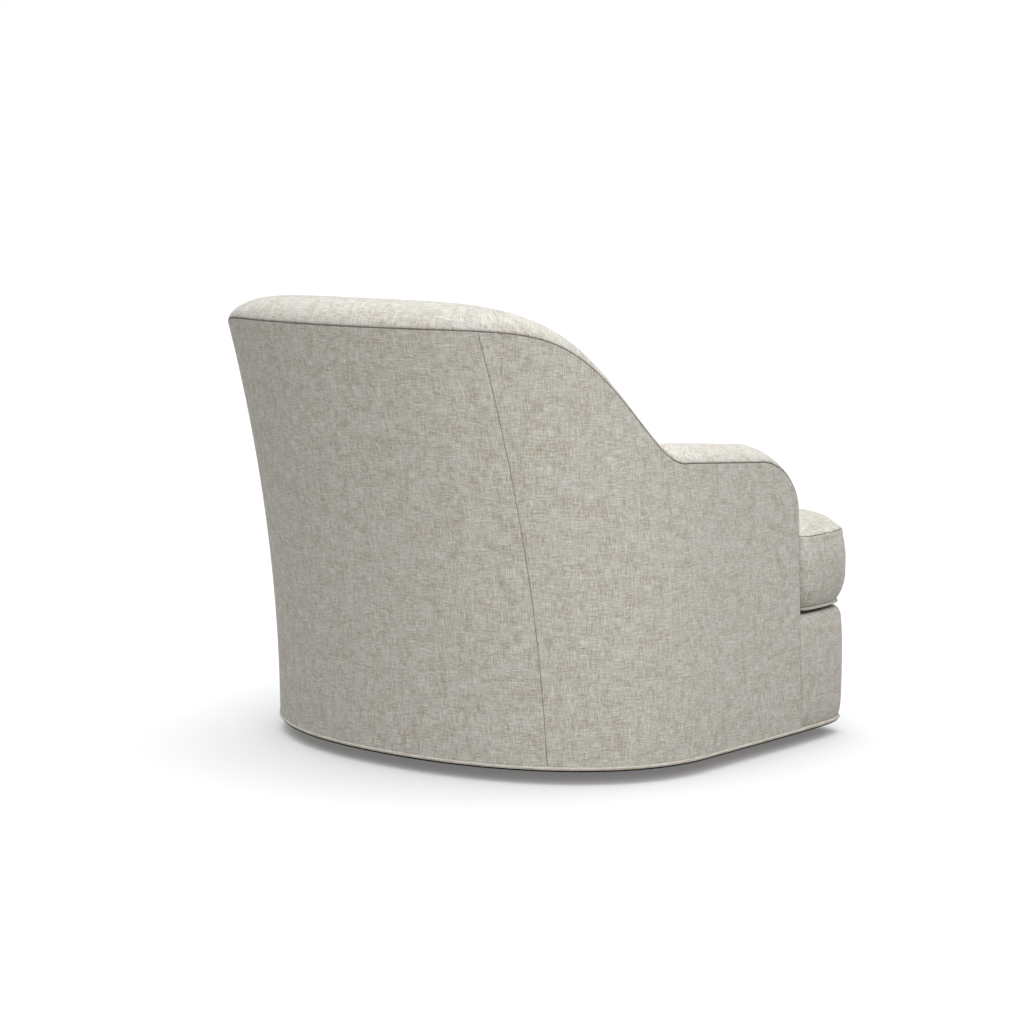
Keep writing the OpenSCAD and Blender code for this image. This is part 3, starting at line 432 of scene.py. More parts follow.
def over_uv(grid):
    """Cloth coordinates in metres: level length along each row from the middle column, and
    length up from the deck and over the crown, so that the threads cross a sloping seam."""
    over = travelled(grid, 0)
    return np.stack((level_run(grid), over[-1:] - over), -1) * MM


# Radii of the edges that are turned in: bottom, top, left and right
SEAM_TUCK = 2.2
CROSS_TUCK = 1.2
PANEL_TUCK = 1.0, SEAM_TUCK, SEAM_TUCK, SEAM_TUCK
PAD_TUCK = SEAM_TUCK, 0.0, CROSS_TUCK, CROSS_TUCK
FACING_TUCK = 1.5, 1.2, 2.0, 2.0
APRON_TUCK = 1.5, 0.0, 1.5, 1.5
WALL_T = 3.0


def outer_panel(name, places, material):
    """A tight cover over the outer frame, its edges turned in at the seams."""
    grid = panel_grid(places)
    inside = grid - grid_normals(grid) * (SEAM_TUCK + WALL_T)
    return shell(name, tucked(grid, PANEL_TUCK), inside, level_uv(grid), material)


def pad_grid(places, inside):
    """Padding over the crown and down the inner face; inside gives its hidden side."""
    q, side = folded(places)
    shares = np.concatenate((fine_start(CROWN_LENGTH, CROWN_STEP)[:-1], [1.0]))
    grow = fine_start(FACE_LENGTH, FACE_STEP)[::-1]
    fall = (1 - grow)[1:]
    q_rows = np.broadcast_to(q, (len(shares), len(q)))
    share_rows = np.broadcast_to(shares[:, None], q_rows.shape)
    seam = seam_z(q)
    board_y = arm_front(CORNER_BASE_H) + FACING_T + SEAM_GAP
    surface = pad_point(q, np.ones_like(q))
    surface[:, 1] = np.maximum(surface[:, 1], board_y)
    if inside:
        outer = points(*outer_xy(q, seam), seam)
        inner = points(*inner_xy(q, seam, arm_front(seam)), seam)
        thick = np.linalg.norm((outer - inner)[:, :2], axis=-1)
        deep = mix(RIM_SHARE, 1 - PAD_T / thick, share_rows)
        crown_rows = pad_point(q_rows, deep, CROWN_T)
        crown_rows[0] = points(*outer_xy(q, seam, RAIL_INSET), seam)
    else:
        crown_rows = pad_point(q_rows, share_rows)
    crown_rows[-1, :, 1] = np.maximum(crown_rows[-1, :, 1], board_y)
    top = crown_rows[-1, :, 2] - (PAD_T if inside else 0)
    forward = surface[:, 1] - inner_xy(q, surface[:, 2], board_y)[1]
    z = mix(top[None], DECK_H + SOFT_GAP, fall[:, None])
    x, y = inner_xy(np.broadcast_to(q, z.shape), z, board_y, PAD_T if inside else 0.0)
    face = points(x, y + forward[None] * (1 - fall[:, None]), z)
    return sided(np.concatenate((crown_rows, face)), side)


def pad(name, places, material):
    """Padding of a back or an arm."""
    grid = pad_grid(places, False)
    piece = shell(name, tucked(grid, PAD_TUCK), pad_grid(places, True), over_uv(grid), material)
    return piece


FACING_STEP = 5.0
FACING_LENGTH = 200.0


def facing(name, side, material):
    """Padded front of an arm below its rolled corner."""
    shares = fine_ended(ARM_W, FACING_STEP)
    rows = mix(DECK_H + SOFT_GAP, CORNER_BASE_H - SEAM_GAP, fine_ended(FACING_LENGTH, GRID_STEP))
    x = mix(HALF_W - PANEL_T - SEAM_GAP, INNER_HALF, shares)
    y = arm_front(rows)[:, None] - crown(np.zeros_like(shares), shares)[None]
    z = np.broadcast_to(rows[:, None], y.shape)
    grid = points(np.broadcast_to(side * x, y.shape), y, z)
    if side > 0:
        grid = grid[:, ::-1]
    board_y = arm_front(CORNER_BASE_H) + FACING_T
    inside = grid.copy()
    inside[..., 1] = board_y
    piece = shell(name, tucked(grid, FACING_TUCK), inside, level_uv(grid), material)
    return piece


FRONT_CORNER_Y = ARC_Y - APRON_REACH + CORNER_D


def front_path(t, inset, end_y, corner_y=FRONT_CORNER_Y):
    """Plan of the front from its middle, t 0, to its end beside the arm, t 3: a bow, a corner
    of a superellipse that ends at corner_y, and a straight side. A deep inset keeps a corner."""
    turn_w = np.maximum(CORNER_W - inset, CORNER_KEEP)
    flat_w = HALF_W - inset - turn_w
    flat_y = ARC_Y - APRON_REACH + inset
    bow = np.clip(t, 0, 1)
    turn = np.radians(90 * np.clip(t - 1, 0, 1))
    side = np.clip(t - 2, 0, 1)
    x = np.where(t < 1, flat_w * bow,
                 flat_w + turn_w * power(np.sin(turn), 2 / CORNER_POWER))
    y = np.where(t < 1, flat_y - APRON_BOW * (1 - bow ** 2),
                 corner_y - (corner_y - flat_y) * power(np.cos(turn), 2 / CORNER_POWER))
    return x, mix(y, end_y, side)


FLAT_STEPS = 60
TURN_STEPS = 34
APRON_SIDE = 60.0
APRON_LENGTH = 211.0
APRON_STEP = 5.0


def front_places():
    """Places of the columns of a front, from its left end to its right end."""
    flat = np.linspace(0, 1, FLAT_STEPS + 1)
    corner = 1 + np.linspace(0, 1, TURN_STEPS + 1)[1:]
    side = 2 + (1 - fine_start(APRON_SIDE, GRID_STEP)[::-1])[1:]
    half = np.concatenate((flat, corner, side))
    return np.concatenate((-half[:0:-1], half))


APRON_FOOT_IN = 1.4 * WELT_R
APRON_FOOT_H = 10 * WELT_R
APRON_TOP_IN = 4.5 * WELT_R
APRON_TOP_H = 7 * WELT_R
APRON_TOP_POWER = 2.2
APRON_TURN = 75.0
APRON_EASE = 3.5
APRON_BULGE = 2.2


def apron(material):
    """The padded front: drawn in by a square at its foot, by a square and then a quarter of a
    superellipse at its top, and bulging by a sine between them."""
    rows = fine_ended(APRON_LENGTH, APRON_STEP)
    z = mix(PANEL_LOW, DECK_H, rows)
    foot = APRON_FOOT_IN * (1 - np.clip((z - PANEL_LOW) / APRON_FOOT_H, 0, 1)) ** 2
    top = np.clip((z - DECK_H + APRON_TOP_H) / APRON_TOP_H, 0, 1)
    slack = np.clip((z - DECK_H + APRON_TURN) / APRON_TURN, 0, 1)
    round_top = APRON_TOP_IN * (1 - power(1 - top ** APRON_TOP_POWER, 1 / APRON_TOP_POWER))
    inset = foot + round_top + APRON_EASE * slack ** 2 - APRON_BULGE * np.sin(math.pi * rows)
    t = front_places()
    end_y = arm_front(z)[:, None] - SOFT_GAP
    x, y = front_path(np.abs(t)[None], inset[:, None], end_y)
    grid = points(np.sign(t)[None] * x, y, z[:, None])
    back_x, back_y = front_path(np.abs(t)[None], np.full_like(inset, APRON_T)[:, None], end_y)
    inside = points(np.sign(t)[None] * back_x, back_y, z[:, None])
    piece = shell("apron", tucked(grid, APRON_TUCK), inside, level_uv(grid), material)
    return piece


def resampled(path, step, closed=True):
    """The path again with its points a step apart along its own length."""
    if closed:
        path = np.concatenate((path, path[:1]))
    run = travelled(path, 0)
    count = int(run[-1] / step)
    at = np.linspace(0, run[-1], count + 1)[:-1 if closed else None]
    return np.stack([np.interp(at, run, path[:, k]) for k in range(3)], 1)


def both_halves(half):
    """A closed path from its right half, which runs from the front's middle to the back's."""
    return np.concatenate((half, half[::-1] * [-1, 1, 1]))


CORD_FULL = 0.6
CORD_STEP = 3.0
CORD_SIDES = 12
WELT_Z = FLOOR_GAP + WELT_R


def bottom_line(inset, outline_z, z):
    """Closed path at a height z round the outline of the bottom edge: set in under the apron,
    then along the arms and the back, whose outline is taken at its own height."""
    front_x, front_y = front_path(np.linspace(0, 2, 90), APRON_WELT_INSET + inset, 0.0)
    q = np.concatenate((np.linspace(0, 1, 40)[:-1], np.linspace(1, 2, 160)))
    side_x, side_y = outer_xy(q, outline_z, PANEL_WELT_INSET + inset)
    return both_halves(points(np.append(front_x, side_x), np.append(front_y, side_y), z))


def bottom_welt(material):
    """Cord round the bottom edge, set in under the apron and stepping out under the arms."""
    line = resampled(bottom_line(0.0, WELT_Z, WELT_Z + CORD_FULL / 2), CORD_STEP)
    return cords("welt_bottom", [line], WELT_R + CORD_FULL, CORD_SIDES, material)


# Painted shade: a dark strip of lining cloth under the bottom welt stands in for the shade there
SHADE_STRIP_LOW = 24.2
SHADE_STRIP_T = 1.6
SHADE_STRIP_INSET = 0.4


def bottom_shade_strip(material):
    """A strip of the black lining cloth set under the welt where shade falls: painted shade, which
    shows as a thin dark line.
    A closed strip along the bottom outline, its section a slim rectangle."""
    section = ((0.0, SHADE_STRIP_LOW), (0.0, WELT_Z), (SHADE_STRIP_T, WELT_Z), (SHADE_STRIP_T, SHADE_STRIP_LOW))
    grid = np.stack([bottom_line(SHADE_STRIP_INSET + inset, FLOOR_GAP, z) for inset, z in section], 1)
    i, j = grid_faces(len(grid), 4, True, True)
    quads = (i % len(grid)) * 4 + j % 4
    spots = grid.reshape(-1, 3)
    return new_mesh("bottom_shade_strip", spots, quads, spots[quads][..., :2] * MM, material, False)


EAR_BACK_Y = arm_front(DECK_H) - FRONT_CROWN - BOXING_BULGE - CUSHION_PLAY
LOW_SEAM_Z = DECK_H + LOW_SEAM
HIGH_SEAM_Z = LOW_SEAM_Z + BOXING_H
BAND_STEPS = 50
EAR_FRONT_STEPS = 30
EAR_STEPS = 15
NECK_STEPS = 10
REAR_STEPS = 60


def cushion_half(inset, z):
    """Right half of the cushion's outline: front, ear, neck and reclined rear."""
    body = INNER_HALF - BOXING_BULGE - CUSHION_PLAY
    ear_y = EAR_BACK_Y - inset
    turns = np.concatenate((np.linspace(0, 1, BAND_STEPS + 1)[1:],
                            1 + np.linspace(0, 1, EAR_FRONT_STEPS + 1)[1:]))
    x, y = front_path(turns, inset, 0.0, ear_y - EAR_TURN)
    ear = np.radians(np.linspace(0, 90, EAR_STEPS + 1))
    neck = np.radians(np.linspace(270, 180, NECK_STEPS + 1))
    p = np.linspace(1, 2, REAR_STEPS + 1)[:-1]
    reach = INNER_REACH - BOXING_BULGE - CUSHION_PLAY - inset
    x = np.concatenate((x, HALF_W - inset - EAR_TURN + EAR_TURN * np.cos(ear),
                        body - inset + NECK_TURN + NECK_TURN * np.cos(neck),
                        (body - inset) * across(p)))
    y = np.concatenate((y, ear_y - EAR_TURN + EAR_TURN * np.sin(ear),
                        ear_y + NECK_TURN + NECK_TURN * np.sin(neck),
                        INNER_BACK_Y - INNER_REACH + (z - DECK_H) * RECLINE + reach * behind(p)))
    return x, y


def cushion_ring(inset, z):
    """The whole outline as a closed ring of points."""
    x, y = cushion_half(inset, z)
    return both_halves(points(x, y, z))


FOOT_INSET = 15.0
FOOT_TURN = 62.0
FOOT_POWER = 2.5
HEAD_INSET = 4.5
HEAD_TURN = 60.0
HEAD_POWER = 2.2
UNDER_INSET = 34.0
UNDER_POWER = 2.2
OVER_INSET = 70.0
UNDER_STEPS = 6
BOXING_STEPS = 35
OVER_STEPS = 19


def boxing_inset(height):
    """Inset of the boxing at a height over its lower seam: it turns in hard at its foot, bulges
    in the middle and turns in a little at its head."""
    foot = power(1 - height / FOOT_TURN, FOOT_POWER)
    head = power((height - BOXING_H + HEAD_TURN) / HEAD_TURN, HEAD_POWER)
    return -BOXING_BULGE + (BOXING_BULGE + FOOT_INSET) * foot + (BOXING_BULGE + HEAD_INSET) * head


def cushion_profile(crown_h):
    """Heights and insets from under the cushion, over its boxing, to the crown."""
    under = np.linspace(0, 1, UNDER_STEPS + 1)[:-1]
    boxing = np.linspace(0, BOXING_H, BOXING_STEPS + 1)
    over = np.linspace(0, 1, OVER_STEPS + 1)[1:]
    heights = np.concatenate((mix(DECK_H + SOFT_GAP, LOW_SEAM_Z, under ** UNDER_POWER),
                              LOW_SEAM_Z + boxing, HIGH_SEAM_Z + crown_h * (1 - (1 - over) ** 2)))
    insets = np.concatenate((mix(UNDER_INSET, FOOT_INSET, under), boxing_inset(boxing),
                             mix(HEAD_INSET, OVER_INSET, over)))
    return heights, insets


DRAWN_SHARES = 0.86, 0.7, 0.5, 0.25, 0.0
SPINE_WIDTH_SHARE = 0.55
SPINE_Y = EAR_BACK_Y - 40.0
CROWN_RISE = 5.0


def cushion_body(material, crown_h):
    """The stuffed shape as rings of its outline, each end closed by rings drawn in to a line."""
    heights, insets = cushion_profile(crown_h)
    rings = np.stack([cushion_ring(inset, z) for z, inset in zip(heights, insets)])
    shrink = np.array(DRAWN_SHARES)[:, None, None]

    def drawn_in(ring, rise):
        """Rings between an outline and a spine inside it, which rise by a parabola."""
        spine = points(ring[:, 0] * SPINE_WIDTH_SHARE, SPINE_Y, ring[:, 2])
        steps = mix(spine[None], ring[None], shrink)
        steps[..., 2] += rise * (1 - shrink[..., 0] ** 2)
        return steps

    grid = np.concatenate((drawn_in(rings[0], 0)[::-1], rings, drawn_in(rings[-1], CROWN_RISE)))
    rows, cols = grid.shape[:2]
    i, j = grid_faces(rows, cols, False, True)
    quads = i * cols + j % cols
    spots = grid.reshape(-1, 3)
    return new_mesh("cushion", spots, quads, spots[quads][..., :2] * MM, material)


def read_points(piece, field):
    """One field of all of a mesh's points, three numbers for each."""
    flat = np.empty(3 * len(piece.data.vertices), np.float32)
    piece.data.vertices.foreach_get(field, flat)
    return flat.reshape(-1, 3)


def mesh_points(piece):
    """A mesh's points in millimetres."""
    return read_points(piece, "co").astype(float) / MM


def set_points(piece, spots):
    """Puts a mesh's points back."""
    piece.data.vertices.foreach_set("co", (spots * MM).astype(np.float32).ravel())
    piece.data.update()


def finished(piece, kind, **settings):
    """The piece with one modifier applied to its mesh."""
    modifier = piece.modifiers.new(kind.lower(), kind)
    for name, value in settings.items():
        setattr(modifier, name, value)
    bpy.context.view_layer.update()
    made = bpy.data.meshes.new_from_object(piece.evaluated_get(bpy.context.evaluated_depsgraph_get()))
    piece.modifiers.clear()
    piece.data = made
    return piece


RING_STEP = 6.0
PART_SIZE = 2000


def ring_places(spots):
    """For each point its distance outward from the upper seam's outline in plan and the arc length
    along that outline, and the outline's whole length."""
    ring = resampled(cushion_ring(HEAD_INSET, HIGH_SEAM_Z), RING_STEP)[:, :2]
    run = travelled(ring, 0)
    near = np.concatenate([((part[:, None] - ring[None]) ** 2).sum(-1).argmin(1)
                           for part in np.array_split(spots[:, :2], max(len(spots) // PART_SIZE, 1))])
    ahead = unit(np.roll(ring, -1, 0) - np.roll(ring, 1, 0))[near]
    step = spots[:, :2] - ring[near]
    out = np.stack((ahead[:, 1], -ahead[:, 0]), 1)
    return (step * out).sum(1), run[near] + (step * ahead).sum(1), run[-1]


def seam_distances(spots, side):
    """Distance of each point from the upper seam, and from the lower one."""
    return (np.hypot(spots[:, 2] - HIGH_SEAM_Z, side),
            np.hypot(spots[:, 2] - LOW_SEAM_Z, side + FOOT_INSET - HEAD_INSET))


CLOTH_FRAMES = 20
SWELL_PRESSURE = 4.0
SWELL_CAP = 24.0
SEAM_HOLD = 5.0
UNDER_HOLD = 2.0


def swollen(piece):
    """Cloth under pressure with its two seams held, each point's move capped."""
    start = mesh_points(piece)
    side, _, _ = ring_places(start)
    on_seam = np.minimum(*seam_distances(start, side)) < SEAM_HOLD
    under = start[:, 2] < DECK_H + UNDER_HOLD
    held = piece.vertex_groups.new(name="held")
    held.add(np.nonzero(on_seam | under)[0].tolist(), 1.0, "REPLACE")
    cloth = piece.modifiers.new("swell", "CLOTH")
    cloth.settings.vertex_group_mass = "held"
    cloth.settings.use_pressure = True
    cloth.settings.uniform_pressure_force = SWELL_PRESSURE
    cloth.settings.effector_weights.gravity = 0
    cloth.settings.quality = 5
    cloth.point_cache.frame_start = 1
    cloth.point_cache.frame_end = CLOTH_FRAMES
    for frame_number in range(1, CLOTH_FRAMES + 1):
        bpy.context.scene.frame_set(frame_number)
    move = mesh_points(piece.evaluated_get(bpy.context.evaluated_depsgraph_get())) - start
    far = np.linalg.norm(move, axis=1, keepdims=True)
    piece.modifiers.clear()
    piece.vertex_groups.clear()
    set_points(piece, start + move * np.minimum(1, SWELL_CAP / np.maximum(far, 1e-6)))
    bpy.context.scene.frame_set(1)
    return piece


PUCKER = 0.5
PUCKER_STEP = 19.0
PUCKER_REACH = 16.0
PUCKER_DRIFT = 61.0
PUCKER_SWAY = 1.7
LONG_PUCKER = 1.63
LONG_SHARE = 0.6
GROOVE = 1.6
GROOVE_REACH = 3.5
EDGE = 2.6
EDGE_REACH = 9.0
TOP_CLOTH = 500.0


def sink_depth(high, low, run):
    """How far the cloth sinks near its seams: a groove at each, puckers as sine waves of two
    lengths that fade exponentially, and a raised edge as a bell on either side of the upper one."""
    near = np.minimum(high, low)
    wave = (np.sin(2 * math.pi * run / PUCKER_STEP + PUCKER_SWAY * np.sin(run / PUCKER_DRIFT))
            + LONG_SHARE * np.sin(2 * math.pi * run / (PUCKER_STEP * LONG_PUCKER) + 1.0))
    groove = GROOVE * np.clip(1 - near / GROOVE_REACH, 0, 1) ** 2
    pucker = PUCKER * wave * np.exp(-near / PUCKER_REACH) * np.clip(near / GROOVE_REACH, 0, 1)
    return groove + pucker - EDGE * np.exp(-(high / EDGE_REACH) ** 2)


def lay_cloth(mesh, spots, run, length):
    """Lays the cushion's cloth: flat from above over and under it, and by length and height round
    its boxing."""
    corners = np.empty(len(mesh.loops), np.int32)
    mesh.loops.foreach_get("vertex_index", corners)
    quads = corners.reshape(-1, 4)
    centre = spots[quads].mean(1)
    boxing = (centre[:, 2] > LOW_SEAM_Z) & (centre[:, 2] < HIGH_SEAM_Z)
    round_run = run[quads]
    round_run = round_run - length * np.round((round_run - round_run[:, :1]) / length)
    around = np.stack((round_run, spots[quads][..., 2]), -1)
    uv = np.where(boxing[:, None, None], around, spots[quads][..., :2] + [0, TOP_CLOTH]) * MM
    layer = mesh.uv_layers.get("cloth") or mesh.uv_layers.new(name="cloth")
    layer.data.foreach_set("uv", uv.astype(np.float32).ravel())


def sewn(piece):
    """The cushion with its seams drawn in and its cloth laid."""
    spots = mesh_points(piece)
    side, run, length = ring_places(spots)
    high, low = seam_distances(spots, side)
    sink = sink_depth(high, low, run)
    set_points(piece, spots - read_points(piece, "normal") * sink[:, None])
    lay_cloth(piece.data, spots, run, length)
    return piece


VOXEL = 0.006
BODY_CROWN = 40.0


def cushion(material):
    """The loose cushion: a stuffed body, swollen as cloth, then sewn."""
    piece = cushion_body(material, BODY_CROWN)
    finished(piece, "REMESH", mode="VOXEL", voxel_size=VOXEL, use_smooth_shade=True)
    swollen(piece)
    finished(piece, "SUBSURF", levels=1, render_levels=1)
    return sewn(piece)


THREAD_R = 0.75
UPRIGHT_THREAD_R = 0.45
UPRIGHT_THREAD_INSET = 1.2
UPRIGHT_THREAD_SHORT = 2.0
UPRIGHT_PLACES = 140
THREAD_STEP = 4.0
THREAD_SIDES = 6


def seam_threads_and_shade(material):
    """Dark stitching in the seams of the cover, partly thread and partly painted shade for the seam
    grooves: along the whole top seam, down both back seams.
    """
    places = np.concatenate((arm_line, back_line[1:-1], 4 - arm_line[::-1]))
    q, side = folded(places)
    z = seam_z(q)
    x, y = outer_xy(q, z, THREAD_R)
    paths = [points(side * x, y, z)]
    low_z = np.linspace(PANEL_LOW, BACK_SEAM_H, UPRIGHT_PLACES)
    low_z = low_z[low_z < seam_z(np.array(BACK_SEAM)) - UPRIGHT_THREAD_SHORT]
    x, y = outer_xy(np.full_like(low_z, BACK_SEAM), low_z, UPRIGHT_THREAD_INSET)
    upright = [points(way * x, y, low_z) for way in (1, -1)]
    return (cords("seam_thread_and_shade", paths, THREAD_R, THREAD_SIDES, material, closed=False),
            cords("seam_thread_upright", upright, UPRIGHT_THREAD_R, THREAD_SIDES, material,
                  closed=False))


def cushion_thread_and_shade(piece, material):
    """Dark stitching of the cushion's upper seam, partly thread and partly painted shade for the
    seam's groove, laid on the stuffed surface.
    """
    path = resampled(cushion_ring(HEAD_INSET, HIGH_SEAM_Z), THREAD_STEP)
    laid = [piece.closest_point_on_mesh(Vector(place * MM))[1] for place in path]
    laid = np.array([list(place) for place in laid]) / MM
    return cords("cushion_thread_and_shade", [laid], THREAD_R, THREAD_SIDES, material)


# Springs, as the frame has them but with round wire
ROCK_Y = -63.5
COIL_X = 78.0
COIL_Y = 100.0
COIL_R = 28.0
COIL_WIRE = 4.5
COIL_TURNS = 6
COIL_STEPS = 28
COIL_SIDES = 14
COIL_LOW = 55.8
COIL_HIGH = 172.9
CLOSED_PITCH = 9.8
STRAND_WIRE = 4.0
STRAND_GAP = 134.5
STRAND_HALF = 19.0
STRAND_PITCH = 44.0
STRAND_STEPS = 24
STRAND_SIDES = 10
STRAND_EASE = 0.05


def coil_springs(name, way, material):
    """Two coil springs: a helix whose first and last turns lie close."""
    turn = np.linspace(0, COIL_TURNS, COIL_STEPS * COIL_TURNS + 1)
    z = np.interp(turn, [0, 1, COIL_TURNS - 1, COIL_TURNS],
                  [COIL_LOW, COIL_LOW + CLOSED_PITCH, COIL_HIGH - CLOSED_PITCH, COIL_HIGH])
    round_x = COIL_R * np.cos(2 * math.pi * turn)
    round_y = COIL_R * np.sin(2 * math.pi * turn)
    paths = [points(side * (COIL_X + round_x), ROCK_Y + way * COIL_Y + round_y, z)
             for side in (1, -1)]
    piece = cords(name, paths, COIL_WIRE, COIL_SIDES, material, closed=False)
    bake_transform(piece)
    return piece


def zigzag_springs(material):
    """Sinuous springs: x swings by a sine of the run, y slows down where the wire crosses over."""
    spots = mesh_points(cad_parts["seat_springs"])
    strands = STRAND_GAP * np.arange(-2, 3)
    owner = np.abs(spots[:, :1] - strands[None]).argmin(1)
    middle_z = (spots[:, 2].min() + spots[:, 2].max()) / 2
    paths = []
    for number, x in enumerate(strands):
        y = spots[owner == number, 1]
        start, length = y.min() + STRAND_WIRE / 2, np.ptp(y) - STRAND_WIRE
        loops = int(length / STRAND_PITCH)
        turn = np.linspace(0, loops, STRAND_STEPS * loops + 1)
        slowed = turn - STRAND_EASE * np.sin(4 * math.pi * turn)
        paths.append(points(x + STRAND_HALF * np.sin(2 * math.pi * turn),
                            start + length / loops * slowed, middle_z))
    return cords("zigzag_springs", paths, STRAND_WIRE / 2, STRAND_SIDES, material, closed=False)


# Shader trees
def feed(tree, node, inputs):
    """Gives each named socket of a node its value, or links it to another socket."""
    for key, value in inputs.items():
        if isinstance(value, bpy.types.NodeSocket):
            tree.links.new(value, node.inputs[key])
        else:
            node.inputs[key].default_value = value


def put(tree, kind, inputs=(), **settings):
    """A node with its settings; inputs maps a socket to a value or to another socket."""
    made = tree.nodes.new(kind)
    for name, value in settings.items():
        setattr(made, name, value)
    feed(tree, made, dict(inputs))
    return made


def maths(tree, operation, a, b=0.0, clamp=False):
    """One sum of two numbers."""
    return put(tree, "ShaderNodeMath", {0: a, 1: b}, operation=operation, use_clamp=clamp).outputs[0]


def ranged(tree, value, low, high, to_low=0.0, to_high=1.0):
    """A value taken from one range to another, smoothly and clamped."""
    return put(tree, "ShaderNodeMapRange", {0: value, 1: low, 2: high, 3: to_low, 4: to_high},
               interpolation_type="SMOOTHSTEP").outputs[0]


def scaled(tree, vector, scale):
    """A vector times a scale of its own along each axis."""
    return put(tree, "ShaderNodeVectorMath", {0: vector, 1: scale}, operation="MULTIPLY").outputs[0]


def noise(tree, vector, scale, detail=2.0, roughness=0.5, flat=False):
    """Noise of one value, scaled along each axis of its own."""
    return put(tree, "ShaderNodeTexNoise",
               {"Vector": scaled(tree, vector, scale), "Scale": 1.0, "Detail": detail,
                "Roughness": roughness},
               noise_dimensions="2D" if flat else "3D").outputs["Fac"]


def crossed(tree, cloth, coarse, fine, detail, roughness):
    """Two flat noises drawn out along the threads: one across the cloth and one up it."""
    return (noise(tree, cloth, (coarse, fine, 0), detail, roughness, True),
            noise(tree, cloth, (fine, coarse, 0), detail, roughness, True))


def relief(tree, height, strength, distance):
    """A surface direction that follows a height."""
    return put(tree, "ShaderNodeBump", {"Height": height, "Strength": strength,
                                        "Distance": distance}).outputs[0]


def tinted(tree, factor, a, b, blend="MIX"):
    """Two colours mixed by a factor."""
    made = put(tree, "ShaderNodeMix", {0: factor, 6: a, 7: b}, data_type="RGBA", blend_type=blend)
    return made.outputs[2]


def new_group(name, inputs, outputs):
    """An empty node group with named sockets, and its inner nodes for input and output."""
    group = bpy.data.node_groups.new(name, "ShaderNodeTree")
    kinds = {"value": "NodeSocketFloat", "colour": "NodeSocketColor", "vector": "NodeSocketVector"}
    for label, kind in inputs:
        group.interface.new_socket(label, in_out="INPUT", socket_type=kinds[kind])
    for label, kind in outputs:
        group.interface.new_socket(label, in_out="OUTPUT", socket_type=kinds[kind])
    return group, group.nodes.new("NodeGroupInput").outputs, group.nodes.new("NodeGroupOutput")


BLUSH = 0.985, 0.95, 0.88, 1
DUST = 0.45, 0.42, 0.38, 1
PLY_PITCH = 0.003


def linen_group():
    """Plain weave of slubbed yarns: crossed threads, slubs and fine streaks both ways, soft tan
    and rosy patches that follow the threads, and short dark flecks."""
    group, given, result = new_group(
        "linen_weave",
        [("Cloth", "vector"), ("Light", "colour"), ("Dark", "colour"), ("Fleck", "colour"),
         ("Pitch", "value"), ("Contrast", "value"), ("Flecks", "value")],
        [("Colour", "colour"), ("Height", "value"), ("Roughness", "value")])
    cloth = given["Cloth"]
    axes = put(group, "ShaderNodeSeparateXYZ", {0: cloth})
    waves = []
    for axis in (0, 1):
        turns = maths(group, "DIVIDE", axes.outputs[axis], given["Pitch"])
        waves.append(maths(group, "SINE", maths(group, "MULTIPLY", turns, math.pi)))
    crossing = maths(group, "MULTIPLY", waves[0], waves[1])
    streaks = maths(group, "ADD", *crossed(group, cloth, 48, 680, 2, 0.6))
    slubs = maths(group, "ADD", *[ranged(group, slub, 0.6, 0.78)
                                  for slub in crossed(group, cloth, 15, 470, 1, 0.5)])
    patch_across, patch_up = crossed(group, cloth, 20, 75, 3, 0.6)
    patches = maths(group, "ADD", patch_across, maths(group, "SUBTRACT", patch_up, 0.5))
    fine = maths(group, "MULTIPLY", maths(group, "SUBTRACT", streaks, 1.0), given["Contrast"])
    raised = maths(group, "ADD", maths(group, "MULTIPLY", slubs, 0.35),
                   maths(group, "MULTIPLY", maths(group, "SUBTRACT", patches, 0.5), 0.35))
    speck = maths(group, "MULTIPLY",
                  maths(group, "SUBTRACT", noise(group, cloth, (480, 480, 0), 2, 0.8, True), 0.5),
                  1.5)
    tone = maths(group, "ADD", maths(group, "ADD", maths(group, "ADD", fine, raised), speck), 0.45,
                 True)
    base = tinted(group, tone, given["Dark"], given["Light"])
    cluster = maths(group, "MAXIMUM", noise(group, cloth, (24, 50, 0), 3, 0.6, True),
                    noise(group, cloth, (55, 21, 0), 3, 0.6, True))
    yarns = maths(group, "MAXIMUM", *crossed(group, cloth, 95, 400, 2, 0.6))
    tan = maths(group, "MULTIPLY", ranged(group, yarns, 0.5, 0.66),
                ranged(group, cluster, 0.5, 0.68, 0.12, 1.0))
    rosy = ranged(group, cluster, 0.52, 0.72)
    warmed = tinted(group, maths(group, "MULTIPLY", tan, given["Flecks"]), base, given["Fleck"])
    blushed = tinted(group, maths(group, "MULTIPLY", rosy, 0.6), warmed, BLUSH, "MULTIPLY")
    short = ranged(group, maths(group, "MAXIMUM", *crossed(group, cloth, 190, 560, 1, 0.5)),
                   0.7, 0.82)
    flecked = tinted(group, maths(group, "MULTIPLY", short, 0.7), blushed, given["Fleck"])
    height = maths(group, "ADD", maths(group, "MULTIPLY", crossing, 0.35),
                   maths(group, "ADD", streaks, slubs))
    feed(group, result, {"Colour": flecked, "Height": height,
                         "Roughness": ranged(group, streaks, 0.7, 1.3, 0.98, 0.86)})
    return group


def new_material(name):
    """A material's tree and its shader, with nothing set."""
    material = bpy.data.materials.new(name)
    material.use_nodes = True
    tree = material.node_tree
    return material, tree, tree.nodes["Principled BSDF"]


